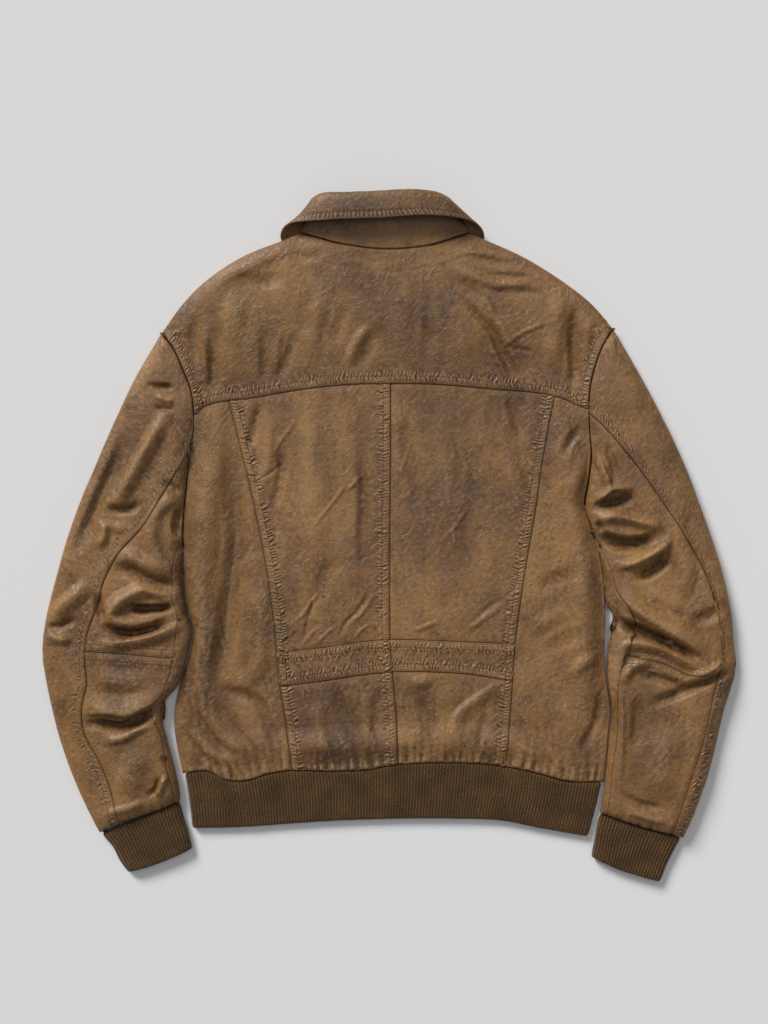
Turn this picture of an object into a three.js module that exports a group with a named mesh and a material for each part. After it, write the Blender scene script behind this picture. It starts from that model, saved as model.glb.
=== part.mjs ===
// A worn leather bomber jacket with a ribbed knit hem and cuffs, lying flat on its front. Millimetres,
// +Z up, +Y towards the collar, +X towards the wearer's right sleeve. Every piece of cloth is a wall of
// its own, lofted through hand-placed seam and outline curves, with SEAM_GAP between pieces that are
// sewn together.

import * as THREE from "three";

// ---------------------------------------------------------------- driving dimensions

const LEATHER = 2.5; // leather with its interlining
const KNIT = 2.5; // doubled ribbed knit
const SEAM_GAP = 0.36; // between pieces sewn together, measured along the cloth
const ARMHOLE_GAP = 0.6; // the sleeves stay this far from the armhole seam's line
const NECK_GAP = 0.45; // the collar stays this far from the neck seam's line
const RIB_GAP = 0.8; // the knit lies this much further below the leather's edge
const BACK_CROWN = 8.8; // height of the back where it lies on the fronts
const SHOULDER_CROWN = 18; // height of the yoke behind the shoulders and the neck
const SLEEVE_CROWN = 20; // height of a flattened sleeve between its folds
const RIB_CROWN = 8; // height of the flattened hem band
const CUFF_CROWN = 10.5; // height of a flattened cuff
const SIDE_EDGE = 7.2; // height of the outermost line of the rolled side edges, up to the underarm
const SHOULDER_EDGE = 9; // the same along the shoulders and the outer edge of the sleeves
const NECK_EDGE = 11.5; // the same where the shoulder meets the collar
const RIB_EDGE = 4; // the same for the hem band
const CUFF_EDGE = 5.2; // the same for the cuffs
const UNDER_ROLL = 12; // how far in from an edge the underside becomes flat
const COLLAR_LIFT = 4.4; // the fronts rise this much over the collar that lies under them
const FRONT_EDGE = 4.5; // half the space between the two front edges, for the zip
const UNDERARM_LEFT = [-241, -12];
const UNDERARM_RIGHT = [245, -10];
const SHOULDER_LEFT = [-266, 240];
const SHOULDER_RIGHT = [262, 245];

const LEATHER_BROWN = 0x7a5433;
const KNIT_BROWN = 0x4d3720;
const TAPE_BROWN = 0x3b2a1a;
const BRASS = 0x8f7a4d;

// ---------------------------------------------------------------- curves

const vec = (p) => new THREE.Vector3(p[0], p[1], p[2] ?? 0);

// A smooth curve through points, as a function of the share of its length.
function through(...points) {
  const line = new THREE.CatmullRomCurve3(points.map(vec), false, "centripetal");
  return named((s) => line.getPointAt(THREE.MathUtils.clamp(s, 0, 1)), line.getLength());
}

function named(at, size) {
  return { at, size };
}

const part = (curve, a, b) => named((s) => curve.at(a + (b - a) * s), curve.size * Math.abs(b - a));
const reverse = (curve) => named((s) => curve.at(1 - s), curve.size);

function join(...curves) {
  const size = curves.reduce((sum, c) => sum + c.size, 0);
  const at = (s) => {
    let along = THREE.MathUtils.clamp(s, 0, 1) * size;
    for (const c of curves) {
      if (along <= c.size || c === curves.at(-1)) return c.at(Math.min(1, along / c.size));
      along -= c.size;
    }
  };
  return named(at, size);
}

// The share of a curve's length at which its x (axis 0) or y (axis 1) first reaches a value.
function where(curve, axis, value) {
  const steps = 600;
  const key = axis ? "y" : "x";
  let before = curve.at(0)[key] - value;
  for (let i = 1; i <= steps; i++) {
    const now = curve.at(i / steps)[key] - value;
    if (before === 0) return (i - 1) / steps;
    if (before * now <= 0) return (i - 1 + before / (before - now)) / steps;
    before = now;
  }
  return Math.abs(curve.at(0)[key] - value) < Math.abs(curve.at(1)[key] - value) ? 0 : 1;
}

const pointOn = (curve, axis, value) => curve.at(where(curve, axis, value));
const between = (curve, axis, from, to) => part(curve, where(curve, axis, from), where(curve, axis, to));

// A curve laid along another, with its ends drawn to two given points.
function drawnTo(curve, start, end) {
  const at = (t) => {
    const straight = curve.at(0).lerp(curve.at(1), t);
    return curve.at(t).sub(straight).add(start.clone().lerp(end, t));
  };
  return named(at, curve.size);
}

const even = (n) => Array.from({ length: n + 1 }, (_, i) => i / n);
const closerAtStart = (n) => even(n).map((t) => Math.pow(t, 1.7));
const closerAtEnd = (n) => even(n).map((t) => 1 - Math.pow(1 - t, 1.7));
const closerAtBoth = (n) => {
  const half = (t) => Math.pow(2 * t, 1.7) / 2;
  return even(n).map((t) => (t < 0.5 ? half(t) : 1 - half(1 - t)));
};
const spread = (from, to, shares) => shares.map((t) => from + (to - from) * t);
const chained = (...lists) => lists.flatMap((list, i) => (i ? list.slice(1) : list));

// The same curve, timed so that its samples at the shares `from` fall at the shares `to` of its length.
// Pieces that meet at a seam are timed alike, so that their facets meet too.
function timed(curve, from, to) {
  const at = (s) => {
    let i = 1;
    while (i < from.length - 1 && s > from[i]) i++;
    const t = (s - from[i - 1]) / (from[i] - from[i - 1]);
    return curve.at(to[i - 1] + (to[i] - to[i - 1]) * t);
  };
  return named(at, curve.size);
}

// ---------------------------------------------------------------- outlines and seams of the body

const sideLeft = through(
  [-242, -277], [-249, -243], [-252, -211], [-247, -179], [-236, -143], [-229, -111], [-236, -87],
  [-241, -50],
  UNDERARM_LEFT,
);
const sideRight = through(
  [252, -287], [255, -260], [257, -237], [260, -202], [255, -167], [253, -138], [254, -97], [252, -50],
  UNDERARM_RIGHT,
);
const armholeLeft = through(
  UNDERARM_LEFT, [-241, 15], [-238, 50], [-234, 88], [-229, 123], [-228, 148], [-231, 172],
  [-241, 198], [-252, 222],
  SHOULDER_LEFT,
);
const armholeRight = through(
  UNDERARM_RIGHT, [236, 15], [229, 38], [233, 67], [236, 96], [234, 125], [233, 151], [234, 174],
  [240, 200],
  [249, 224], SHOULDER_RIGHT,
);
const shoulderLeft = through(
  SHOULDER_LEFT, [-242, 273], [-214, 301], [-171, 329], [-122, 348.5], [-105, 356],
);
const shoulderRight = through(SHOULDER_RIGHT, [238, 273], [202, 301], [156, 329], [112, 348.5], [95, 356]);
const hem = through(
  [-242, -277], [-213, -274], [-192, -284], [-168, -285], [-142, -277], [-116, -273], [-69, -274],
  [-22, -272],
  [1, -267], [60, -264], [118, -266], [165, -274], [212, -286], [252, -287],
);
const yokeLine = through(
  [-228, 143], [-220, 151], [-202, 158], [-162, 163], [-104, 173], [-45, 179], [5, 180], [59, 179],
  [117, 174],
  [176, 169], [205, 162], [222, 154], [233, 150],
);
const yokeSeam = drawnTo(yokeLine, pointOn(armholeLeft, 1, 143), pointOn(armholeRight, 1, 150));
const downTo = (yokeX, hemX, line) => drawnTo(line, pointOn(yokeSeam, 0, yokeX), pointOn(hem, 0, hemX));
const princessLeft = downTo(-188, -114, through(
  [-188, 158.5], [-174, 102], [-160, 44], [-146, -26], [-137, -85], [-132, -135], [-128, -175],
  [-120, -225],
  [-114, -273.2],
));
const princessRight = downTo(194, 137, through(
  [194, 165.2], [182, 102], [172, 32], [162, -26], [153, -85], [148, -125], [145, -169], [141, -225],
  [137, -268.6],
));
const centreBack = downTo(2, 10, through(
  [2, 180], [2, 102], [1, -15], [1.5, -120], [4, -158], [9, -213], [10, -266.2],
));
const bandTop = through(
  [-132, -135], [-81, -130], [-34, -123], [1.5, -120], [48, -121], [95, -123], [148, -125],
);
const bandBottom = through(
  [-128, -175], [-81, -169], [-34, -162], [4, -158], [48, -158], [95, -161], [145, -169],
);

// ---------------------------------------------------------------- sleeves and ribs: outlines and seams

const LEFT = {
  armhole: reverse(armholeLeft),
  seamAt: 130, // where the back seam leaves the armhole, along Y
  innerAt: 12,
  outer: through(
    [-266.6, 239.3], [-296, 189], [-323, 133], [-347, 77], [-370, 20], [-387, -36], [-401, -92],
    [-406, -134],
    [-400, -176], [-387, -232], [-367, -288], [-339, -346],
  ),
  inner: through(
    [-242.6, -12.2], [-243, -50], [-238.5, -87], [-234.5, -108], [-240, -137], [-248, -169], [-266, -194],
    [-265, -216], [-259, -240], [-250, -275], [-245, -300], [-245, -309],
  ),
  cuffSeam: through([-339, -346], [-315, -335], [-291, -327], [-268, -319], [-245, -309]),
  backSeam: through(
    [-229, 130], [-233, 107], [-244, 84], [-265, 49], [-288, 12], [-314, -17], [-331, -47],
    [-340, -78], [-353, -118],
    [-354, -151], [-352, -170], [-358, -199], [-355, -228], [-338, -260], [-325, -292], [-315, -335],
  ),
  innerSeam: through(
    [-241, 4], [-250, -30], [-252, -65], [-247, -88], [-246, -102], [-249, -122], [-254, -155],
    [-264, -183],
    [-278, -203], [-270, -219], [-263, -240], [-259, -268], [-253, -290], [-251, -311.5],
  ),
  elbow: through([-355, -133], [-312, -136], [-266, -140], [-251.3, -141]),
  cuffOuter: through([-336, -349.5], [-325, -362], [-316, -379], [-306, -393]),
  cuffInner: through([-246, -310.5], [-242, -326], [-236, -345], [-231, -365]),
  cuffEnd: through([-306, -393], [-281, -386], [-257, -377], [-231, -365]),
};

const RIGHT = {
  armhole: reverse(armholeRight),
  seamAt: 146,
  innerAt: 16,
  outer: through(
    [262.6, 244.3], [287, 203], [317, 147], [344, 91], [366, 34], [385, -22], [399, -78], [404, -120],
    [406, -153],
    [392, -204], [379, -260], [360, -317], [345, -352],
  ),
  inner: through(
    [248.4, -12], [255, -50], [257, -85], [263, -108], [259, -135], [257.6, -165], [262, -202], [259, -237],
    [256, -265], [252, -292], [247, -323],
  ),
  cuffSeam: through([345, -352], [317, -345], [294, -339], [270, -331], [247, -323]),
  backSeam: through(
    [233, 146], [251, 129], [291, 81], [333, 20], [357, -19], [374, -55], [384, -90], [388, -122],
    [387, -148],
    [377, -190], [367, -237], [350, -290], [331, -348.5],
  ),
  innerSeam: through(
    [239, 6], [258, -34], [267, -63], [281, -84], [289, -104], [277, -125], [270, -148], [266, -189],
    [265, -236],
    [260, -271], [257, -306], [255, -326],
  ),
  elbow: through([387, -148], [367, -161], [349, -161], [326, -150], [291, -140], [271.5, -137]),
  cuffOuter: through([342, -353.5], [335, -366], [326, -384], [318, -404]),
  cuffInner: through([248, -325], [244, -341], [241, -359], [238, -375]),
  cuffEnd: through([318, -404], [300, -399], [268, -389], [238, -375]),
};

const ribLeft = through([-240, -278.5], [-236, -299], [-233, -323], [-231, -341]);
const ribRight = through([250, -288.5], [246, -305], [241, -326], [234, -351]);
const ribBottom = through(
  [-231, -341], [-175, -340], [-104, -335], [-52, -332], [13, -330], [72, -330], [130, -332],
  [177, -341], [234, -351],
);

// The three lines of the collar leaf, from the left front end round the back of the neck to the right
// front end.
const neckSeam = through(
  [-5, 272, 5.6], [-48, 291, 5.6], [-89, 334, 5.8], [-105, 356, 11], [-92, 353, 15], [-58, 343, 17.2],
  [-5, 336, 17.5],
  [48, 341, 17.2], [82, 352, 15], [95, 356, 11.3], [81, 334, 5.8], [44, 291, 5.6], [5, 272, 5.6],
);
const collarFold = through(
  [-5, 296, 3.6], [-36, 318, 3.6], [-76, 368, 5], [-91, 391, 15], [-80, 398, 25], [-50, 399, 30],
  [-8, 401, 31.5],
  [35, 402, 30.5], [60, 398, 25], [72, 391, 15], [60, 368, 5], [30, 318, 3.6], [5, 296, 3.6],
);
const collarEdge = through(
  [-50, 244, 1.6], [-86, 262, 1.6], [-114, 308, 1.6], [-124, 342, 2.2], [-127, 354, 8],
  [-118, 364, 20], [-72, 367, 33], [-10, 369, 35],
  [50, 372, 35], [98, 367, 20], [111, 356, 8], [111, 342, 2.2], [100, 308, 1.6], [72, 262, 1.6],
  [40, 244, 1.6],
);
const NECK_LEFT = where(neckSeam, 1, 355.9);
const NECK_RIGHT = 1 - where(reverse(neckSeam), 1, 355.9);
const neckShares = chained(
  spread(0, NECK_LEFT, closerAtEnd(8)), spread(NECK_LEFT, NECK_RIGHT, closerAtBoth(8)),
  spread(NECK_RIGHT, 1, closerAtStart(8)),
);

// ---------------------------------------------------------------- heights

const smooth = (t) => {
  const c = THREE.MathUtils.clamp(t, 0, 1);
  return c * c * (3 - 2 * c);
};

// Values keyed along a curve: [share, value] pairs joined smoothly.
function keyed(...pairs) {
  return (s) => {
    for (let i = 1; i < pairs.length; i++) {
      const [a, b] = [pairs[i - 1], pairs[i]];
      if (s <= b[0]) return a[1] + (b[1] - a[1]) * smooth((s - a[0]) / (b[0] - a[0]));
    }
    return pairs.at(-1)[1];
  };
}

// Distance from a point to a polyline, which side it lies on, and the share of the length at the
// nearest place.
function nearest(line, x, y) {
  let best = { d: Infinity, s: 0, side: 1, i: 1 };
  for (let i = 1; i < line.length; i++) {
    const [ax, ay] = line[i - 1];
    const [bx, by] = line[i];
    const [dx, dy] = [bx - ax, by - ay];
    const t = THREE.MathUtils.clamp(((x - ax) * dx + (y - ay) * dy) / (dx * dx + dy * dy), 0, 1);
    const [ex, ey] = [x - ax - t * dx, y - ay - t * dy];
    const d = Math.hypot(ex, ey);
    if (d < best.d) {
      best = { d, s: (i - 1 + t) / (line.length - 1), side: dx * ey - dy * ex >= 0 ? 1 : -1, i };
    }
  }
  return best;
}

const polyline = (curve, steps) =>
  Array.from({ length: steps + 1 }, (_, i) => {
    const p = curve.at(i / steps);
    return [p.x, p.y];
  });

// An edge where the cloth comes down to a given height: over a distance roll, along a profile that is
// round (0.5) at an outline and straighter (up to 1) at a seam. Each of the three may be keyed along
// the edge.
function edge(curve, height, roll, round) {
  const value = (v) => (typeof v === "function" ? v : () => v);
  return { line: polyline(curve, 48), height: value(height), roll: value(roll), round: value(round) };
}

function fallTo(e, x, y) {
  const { d, s } = nearest(e.line, x, y);
  const t = Math.min(1, d / e.roll(s));
  return { height: e.height(s), left: 1 - Math.pow(1 - (1 - t) * (1 - t), e.round(s)) };
}

// A fold: a soft ridge (height above 0) or trough along a crest, with its own width to the left and
// right of the crest.
function fold(height, left, right, ...points) {
  return { line: polyline(through(...points), 4 * points.length), height, left, right };
}

function foldsAt(folds, x, y) {
  let sum = 0;
  for (const f of folds) {
    const { d, s, side } = nearest(f.line, x, y);
    const t = d / (side > 0 ? f.left : f.right);
    if (t < 1) {
      sum += f.height * (1 - t * t) ** 2 * smooth(s * 4 + 0.25) * smooth((1 - s) * 4 + 0.25);
    }
  }
  return sum;
}

// The upper surface over a region with edges: the crown, brought down near each edge to that edge's
// height.
function upper(crown, edges) {
  return (x, y) => {
    let remains = 1;
    let weights = 1e-9;
    let heights = 0;
    for (const e of edges) {
      const { height, left } = fallTo(e, x, y);
      const weight = Math.pow(left, 6);
      remains *= 1 - left;
      weights += weight;
      heights += weight * height;
    }
    const base = heights / weights;
    return base + (crown(x, y) - base) * remains;
  };
}

// The underside: flat on the ground, rounded up to the height of the outline near it.
function under(outlines, lift = () => 0) {
  return (x, y) => {
    let z = lift(x, y);
    for (const e of outlines) {
      const { d, s } = nearest(e.line, x, y);
      const t = Math.min(1, d / UNDER_ROLL);
      z += (e.height(s) - z) * (1 - Math.sqrt(1 - (1 - t) * (1 - t)));
    }
    return z;
  };
}

const ARMHOLE_HEIGHT = [[0, SIDE_EDGE], [0.25, 8], [0.5, 12], [0.68, 16], [0.94, 17], [1, SHOULDER_EDGE]];
const ARMHOLE_ROUND = [[0, 0.5], [0.3, 0.7], [0.6, 1], [0.9, 1], [1, 0.5]];
const backwards = (pairs) => pairs.map(([s, v]) => [1 - s, v]).reverse();

const shoulderHeight = keyed([0, SHOULDER_EDGE], [1, NECK_EDGE]);
const bodyOutlines = [
  edge(sideLeft, SIDE_EDGE, 24, 0.5),
  edge(sideRight, SIDE_EDGE, 24, 0.5),
  edge(shoulderLeft, shoulderHeight, 26, 0.5),
  edge(shoulderRight, shoulderHeight, 26, 0.5),
];
const sleeveOutlines = [LEFT, RIGHT].map((s) => [
  edge(s.outer, SHOULDER_EDGE, 25, 0.5),
  edge(s.inner, SIDE_EDGE, 15, 0.5),
]);
const bodyEdges = [
  ...bodyOutlines,
  edge(armholeLeft, keyed(...ARMHOLE_HEIGHT), 24, keyed(...ARMHOLE_ROUND)),
  edge(armholeRight, keyed(...ARMHOLE_HEIGHT), 24, keyed(...ARMHOLE_ROUND)),
  edge(
    hem,
    keyed([0, SIDE_EDGE], [0.08, 8.8], [0.92, 8.8], [1, SIDE_EDGE]),
    24,
    keyed([0, 0.5], [0.1, 0.75], [0.9, 0.75], [1, 0.5]),
  ),
  edge(
    part(neckSeam, NECK_LEFT, NECK_RIGHT),
    keyed([0, NECK_EDGE], [0.17, 16.4], [0.34, 18.8], [0.66, 18.8], [0.83, 16.4], [1, NECK_EDGE]),
    30,
    1,
  ),
];

const bodyFolds = [
  fold(8.5, 34, 38, [-205, -262], [-216, -150], [-208, -20], [-200, 110], [-205, 190]),
  fold(8.5, 38, 32, [222, -262], [226, -160], [220, -20], [206, 110], [212, 190]),
  fold(6, 26, 26, [-230, -246], [-120, -243], [0, -237], [120, -238], [238, -250]),
  fold(3, 16, 20, [-214, -140], [-196, -190], [-165, -236], [-150, -262]),
  fold(-4, 16, 14, [-196, -96], [-186, -150], [-158, -205], [-136, -246]),
  fold(3, 18, 22, [-60, 160], [-66, 40], [-58, -60]),
  fold(2.5, 22, 22, [90, 150], [78, 40], [100, -70]),
  fold(-2.5, 16, 16, [-166, 130], [-140, 20], [-120, -70]),
  fold(4, 20, 16, [-120, 300], [-60, 230], [-40, 190]),
  fold(-3, 16, 16, [90, 270], [128, 225], [140, 185]),
  fold(3, 16, 20, [110, 300], [170, 255], [205, 200]),
];

function bodyCrown(x, y) {
  const shoulders = smooth((y - 150) / 130);
  return BACK_CROWN + (SHOULDER_CROWN - BACK_CROWN) * shoulders + foldsAt(bodyFolds, x, y);
}

const sleeveFolds = {
  left: [
    fold(6, 18, 16, [-250, 152], [-285, 100], [-318, 50], [-336, 16]),
    fold(-5, 16, 16, [-262, 176], [-300, 110], [-340, 40], [-362, -10]),
    fold(13, 9, 46, [-322, -78], [-292, -66], [-262, -62], [-244, -50]),
    fold(-7, 9, 9, [-312, -90], [-284, -84], [-252, -82]),
    fold(8, 12, 16, [-346, -112], [-300, -113], [-262, -106], [-242, -98]),
    fold(9, 14, 24, [-336, -190], [-304, -190], [-276, -178], [-258, -168]),
    fold(-7, 12, 12, [-350, -218], [-320, -222], [-292, -208], [-272, -196]),
    fold(5, 24, 24, [-300, -300], [-290, -262], [-276, -236]),
  ],
  right: [
    fold(8, 11, 12, [244, 38], [275, 38], [304, 28]),
    fold(-8, 9, 10, [246, 20], [275, 10], [312, -2]),
    fold(6, 22, 24, [262, -30], [300, -36], [338, -64], [360, -104]),
    fold(12, 36, 9, [270, -78], [306, -96], [338, -120], [356, -134]),
    fold(-8, 10, 10, [282, -106], [320, -124], [362, -148]),
    fold(8, 10, 12, [264, -128], [300, -137], [348, -158]),
    fold(-7, 14, 14, [300, -194], [342, -174], [392, -154]),
    fold(5, 34, 34, [304, -214], [300, -260], [292, -308]),
  ],
};

// ---------------------------------------------------------------- walls

// A sheet of points [i][j] as a closed wall of the given thickness. Its outer side faces where the turn
// of i to j says, or the other way when flipped. The sides in `sewn` stop short of the seam, and a
// ring's last column is its first.
function wall(points, thickness, options = {}) {
  const { flip = false, sewn = "", ring = false, middle = false } = options;
  const { normalAt = null, startGap = SEAM_GAP / 2 } = options;
  const [m, n] = [points.length, points[0].length];
  const p = points.map((column) => column.map((v) => v.clone()));
  const step = (from, to, gap = SEAM_GAP / 2) => {
    const across = Math.hypot(to.x - from.x, to.y - from.y);
    return from.clone().lerp(to, Math.min(0.3, gap / across));
  };
  for (let i = 0; i < m; i++) {
    if (sewn.includes("b")) p[i][0] = step(p[i][0], p[i][1], startGap);
    if (sewn.includes("t")) p[i][n - 1] = step(p[i][n - 1], p[i][n - 2]);
  }
  for (let j = 0; j < n; j++) {
    if (sewn.includes("l")) p[0][j] = step(p[0][j], p[1][j]);
    if (sewn.includes("r")) p[m - 1][j] = step(p[m - 1][j], p[m - 2][j]);
  }
  const column = (i) => (ring ? (i + m) % m : THREE.MathUtils.clamp(i, 0, m - 1));
  const row = (j) => THREE.MathUtils.clamp(j, 0, n - 1);
  const outer = [];
  const inner = [];
  for (let i = 0; i < m; i++)
    for (let j = 0; j < n; j++) {
      const along = p[column(i + 1)][j].clone().sub(p[column(i - 1)][j]);
      const across = p[i][row(j + 1)].clone().sub(p[i][row(j - 1)]);
      const given = normalAt?.(i, j, points[i][j]);
      const normal = given ?? along.cross(across).normalize().multiplyScalar(flip ? -1 : 1);
      const half = middle ? thickness / 2 : 0;
      outer.push(p[i][j].clone().addScaledVector(normal, half));
      inner.push(p[i][j].clone().addScaledVector(normal, half - thickness));
    }
  const vertices = [...outer, ...inner];
  const below = outer.length;
  const at = (i, j) => column(i) * n + j;
  const triangles = [];
  const quad = (a, b, c, d) => triangles.push(...(flip ? [a, c, b, a, d, c] : [a, b, c, a, c, d]));
  const last = ring ? m : m - 1;
  for (let i = 0; i < last; i++)
    for (let j = 0; j < n - 1; j++) {
      quad(at(i, j), at(i + 1, j), at(i + 1, j + 1), at(i, j + 1));
      quad(below + at(i, j), below + at(i, j + 1), below + at(i + 1, j + 1), below + at(i + 1, j));
    }
  for (let i = 0; i < last; i++) {
    quad(at(i, 0), below + at(i, 0), below + at(i + 1, 0), at(i + 1, 0));
    quad(at(i, n - 1), at(i + 1, n - 1), below + at(i + 1, n - 1), below + at(i, n - 1));
  }
  if (!ring)
    for (let j = 0; j < n - 1; j++) {
      quad(at(0, j), at(0, j + 1), below + at(0, j + 1), below + at(0, j));
      quad(at(m - 1, j), below + at(m - 1, j), below + at(m - 1, j + 1), at(m - 1, j + 1));
    }
  return new THREE.BufferGeometry()
    .setAttribute("position", new THREE.Float32BufferAttribute(vertices.flatMap((v) => v.toArray()), 3))
    .setIndex(triangles);
}

// A patch of the plan between four curves, as a function of two shares (Coons).
function patch(bottom, top, left, right) {
  const [a, b, c, d] = [bottom.at(0), bottom.at(1), top.at(0), top.at(1)];
  return (u, v) => {
    const [l, r, lo, hi] = [left.at(v), right.at(v), bottom.at(u), top.at(u)];
    const mix = (k) =>
      (1 - u) * l[k] + u * r[k] + (1 - v) * lo[k] + v * hi[k] -
      (1 - u) * (1 - v) * a[k] - u * (1 - v) * b[k] - (1 - u) * v * c[k] - u * v * d[k];
    return [mix("x"), mix("y")];
  };
}

function sheet(place, us, vs, height) {
  return us.map((u) =>
    vs.map((v) => {
      const [x, y] = place(u, v);
      return new THREE.Vector3(x, y, height(x, y));
    }),
  );
}

// The normal of a height field, the same on both sides of a seam.
function fieldNormal(height, x, y) {
  const h = 1.5;
  const slope = (dx, dy) => (height(x + dx, y + dy) - height(x - dx, y - dy)) / (2 * h);
  return new THREE.Vector3(-slope(h, 0), -slope(0, h), 1).normalize();
}

const jacket = new THREE.Group();
const material = (color, roughness, metalness = 0) =>
  new THREE.MeshStandardMaterial({ color, roughness, metalness });
const leather = () => material(LEATHER_BROWN, 0.5);
const knit = () => material(KNIT_BROWN, 0.95);
const tape = () => material(TAPE_BROWN, 0.9);
const metal = () => material(BRASS, 0.35, 1);

function add(name, geometry, material) {
  const mesh = new THREE.Mesh(geometry, material);
  mesh.name = name;
  jacket.add(mesh);
  return mesh;
}

// ---------------------------------------------------------------- back panels

// The places along an armhole, from the underarm up, at which pieces meet or have a row of points.
function armholeShares(armhole, s, yokeAt) {
  const [inner, back, yoke] = [s.innerAt, s.seamAt, yokeAt].map((y) => where(armhole, 1, y));
  return chained([0, inner], spread(inner, back, even(6)), [back, yoke], spread(yoke, 1, closerAtEnd(6)));
}
const YOKE_ROWS = 6;
const armSharesLeft = armholeShares(armholeLeft, LEFT, yokeSeam.at(0).y);
const armSharesRight = armholeShares(armholeRight, RIGHT, yokeSeam.at(1).y);
const backHeight = upper(bodyCrown, bodyEdges);

// The level direction square to an outline at a place near it, towards the given side along X.
function squareTo(line, x, y, towards) {
  const { i } = nearest(line, x, y);
  const [dx, dy] = [line[i][0] - line[i - 1][0], line[i][1] - line[i - 1][1]];
  const normal = new THREE.Vector3(dy, -dx, 0).normalize();
  return normal.multiplyScalar(normal.x * towards < 0 ? -1 : 1);
}

// On a rolled outer edge of the body, the height and the outward direction are those of the outline.
function outlineAt(x, y) {
  for (const e of bodyOutlines) {
    const { d, s } = nearest(e.line, x, y);
    if (d < 0.6) return { height: e.height(s), outward: squareTo(e.line, x, y, x) };
  }
  return null;
}

// A panel of the body over a height field: outer edges as the outline says, seams with the field's own
// direction.
function bodyPanel(name, place, us, vs, height, { flip = false, facing = 1 } = {}) {
  const points = sheet(place, us, vs, height);
  for (const p of points.flat()) {
    const outline = outlineAt(p.x, p.y);
    if (outline) p.z = outline.height + (facing * SEAM_GAP) / 2;
  }
  const normalAt = (i, j, p) => {
    if (i > 0 && j > 0 && i < us.length - 1 && j < vs.length - 1) return null;
    return outlineAt(p.x, p.y)?.outward ?? fieldNormal(height, p.x, p.y).multiplyScalar(facing);
  };
  add(name, wall(points, LEATHER, { flip, sewn: "lrtb", normalAt }), leather());
}

const SIDE_COLUMNS = 5;
const CENTRE_COLUMNS = 7;
const SIDE_ROWS = 8;
const WAIST_ROWS = 4;
const BAND_ROWS = 2;
const CENTRE_ROWS = 10;

function yoke() {
  const neck = part(neckSeam, NECK_LEFT, NECK_RIGHT);
  const top = join(shoulderLeft, neck, reverse(shoulderRight));
  const [a, b] = [shoulderLeft.size / top.size, 1 - shoulderRight.size / top.size];
  const neckSteps = spread(a, b, closerAtBoth(8));
  const topShares = chained(spread(0, a, even(8)), neckSteps, spread(b, 1, even(8)));
  const seams = [princessLeft, centreBack, princessRight];
  const [l, c, r] = seams.map((seam) => where(yokeSeam, 0, seam.at(0).x));
  const seamShares = chained(
    spread(0, l, even(SIDE_COLUMNS)),
    spread(l, c, even(CENTRE_COLUMNS)),
    spread(c, r, even(CENTRE_COLUMNS)),
    spread(r, 1, even(SIDE_COLUMNS)),
  );
  const us = even(24);
  const armPart = (armhole, shares) => part(armhole, shares.at(-1 - YOKE_ROWS), 1);
  const place = patch(
    timed(yokeSeam, us, seamShares), timed(top, us, topShares), armPart(armholeLeft, armSharesLeft),
    armPart(armholeRight, armSharesRight),
  );
  bodyPanel("back_yoke", place, us, closerAtEnd(YOKE_ROWS), backHeight);
}

function backSide(name, side, armhole, armShares, princess, hemX, yokeX, mirrored) {
  const low = armShares.slice(0, armShares.length - YOKE_ROWS);
  const outer = join(side, part(armhole, 0, low.at(-1)));
  const turn = side.size / outer.size;
  const vs = even(SIDE_ROWS + low.length - 1);
  const above = low.map((s) => turn + (1 - turn) * (s / low.at(-1)));
  const outerShares = chained(spread(0, turn, even(SIDE_ROWS)), above);
  const seam = reverse(princess);
  const [bandLow, bandHigh] = bandShares(seam);
  const seamShares = chained(
    spread(0, bandLow, even(WAIST_ROWS)),
    spread(bandLow, bandHigh, even(BAND_ROWS)),
    spread(bandHigh, 1, even(CENTRE_ROWS)),
  );
  const [outerTimed, seamTimed] = [timed(outer, vs, outerShares), timed(seam, vs, seamShares)];
  const place = patch(
    between(hem, 0, ...hemX), between(yokeSeam, 0, ...yokeX), mirrored ? seamTimed : outerTimed,
    mirrored ? outerTimed : seamTimed,
  );
  bodyPanel(name, place, even(SIDE_COLUMNS), vs, backHeight);
}

// The shares of an upward seam at which the waist band's lower and upper edges meet it.
function bandShares(seam) {
  const x = seam.at(0.3).x;
  return [bandBottom, bandTop].map((line) => where(seam, 1, pointOn(line, 0, x).y));
}

function backHalf(side, l, r, yokeX, topX, bottomX, hemX) {
  const rows = [
    ["back_waist_", hem, hemX, bandBottom, bottomX, WAIST_ROWS, 0, 1],
    ["back_band_", bandBottom, bottomX, bandTop, topX, BAND_ROWS, 1, 2],
    ["back_centre_", bandTop, topX, yokeSeam, yokeX, CENTRE_ROWS, 2, 3],
  ];
  const [left, right] = [reverse(l), reverse(r)];
  const ends = [left, right].map((seam) => [0, ...bandShares(seam), 1]);
  for (const [name, low, lowX, high, highX, count, from, to] of rows) {
    const edges = [left, right].map((seam, i) => part(seam, ends[i][from], ends[i][to]));
    const bottom = drawnTo(between(low, 0, ...lowX), edges[0].at(0), edges[1].at(0));
    const top = drawnTo(between(high, 0, ...highX), edges[0].at(1), edges[1].at(1));
    bodyPanel(name + side, patch(bottom, top, ...edges), even(CENTRE_COLUMNS), even(count), backHeight);
  }
}

function backPanels() {
  yoke();
  backSide(
    "back_side_left", sideLeft, armholeLeft, armSharesLeft, princessLeft, [-242, -114], [-228, -188], false,
  );
  backSide(
    "back_side_right", sideRight, armholeRight, armSharesRight, princessRight, [137, 252], [194, 233], true,
  );
  backHalf("left", princessLeft, centreBack, [-188, 2], [-132, 1.5], [-128, 4], [-114, 10]);
  backHalf("right", centreBack, princessRight, [2, 194], [1.5, 148], [4, 145], [10, 137]);
}

// ---------------------------------------------------------------- front panels, on the ground

const UNDER_COLUMNS = 6;
const FRONT_ROWS = 12;

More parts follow.
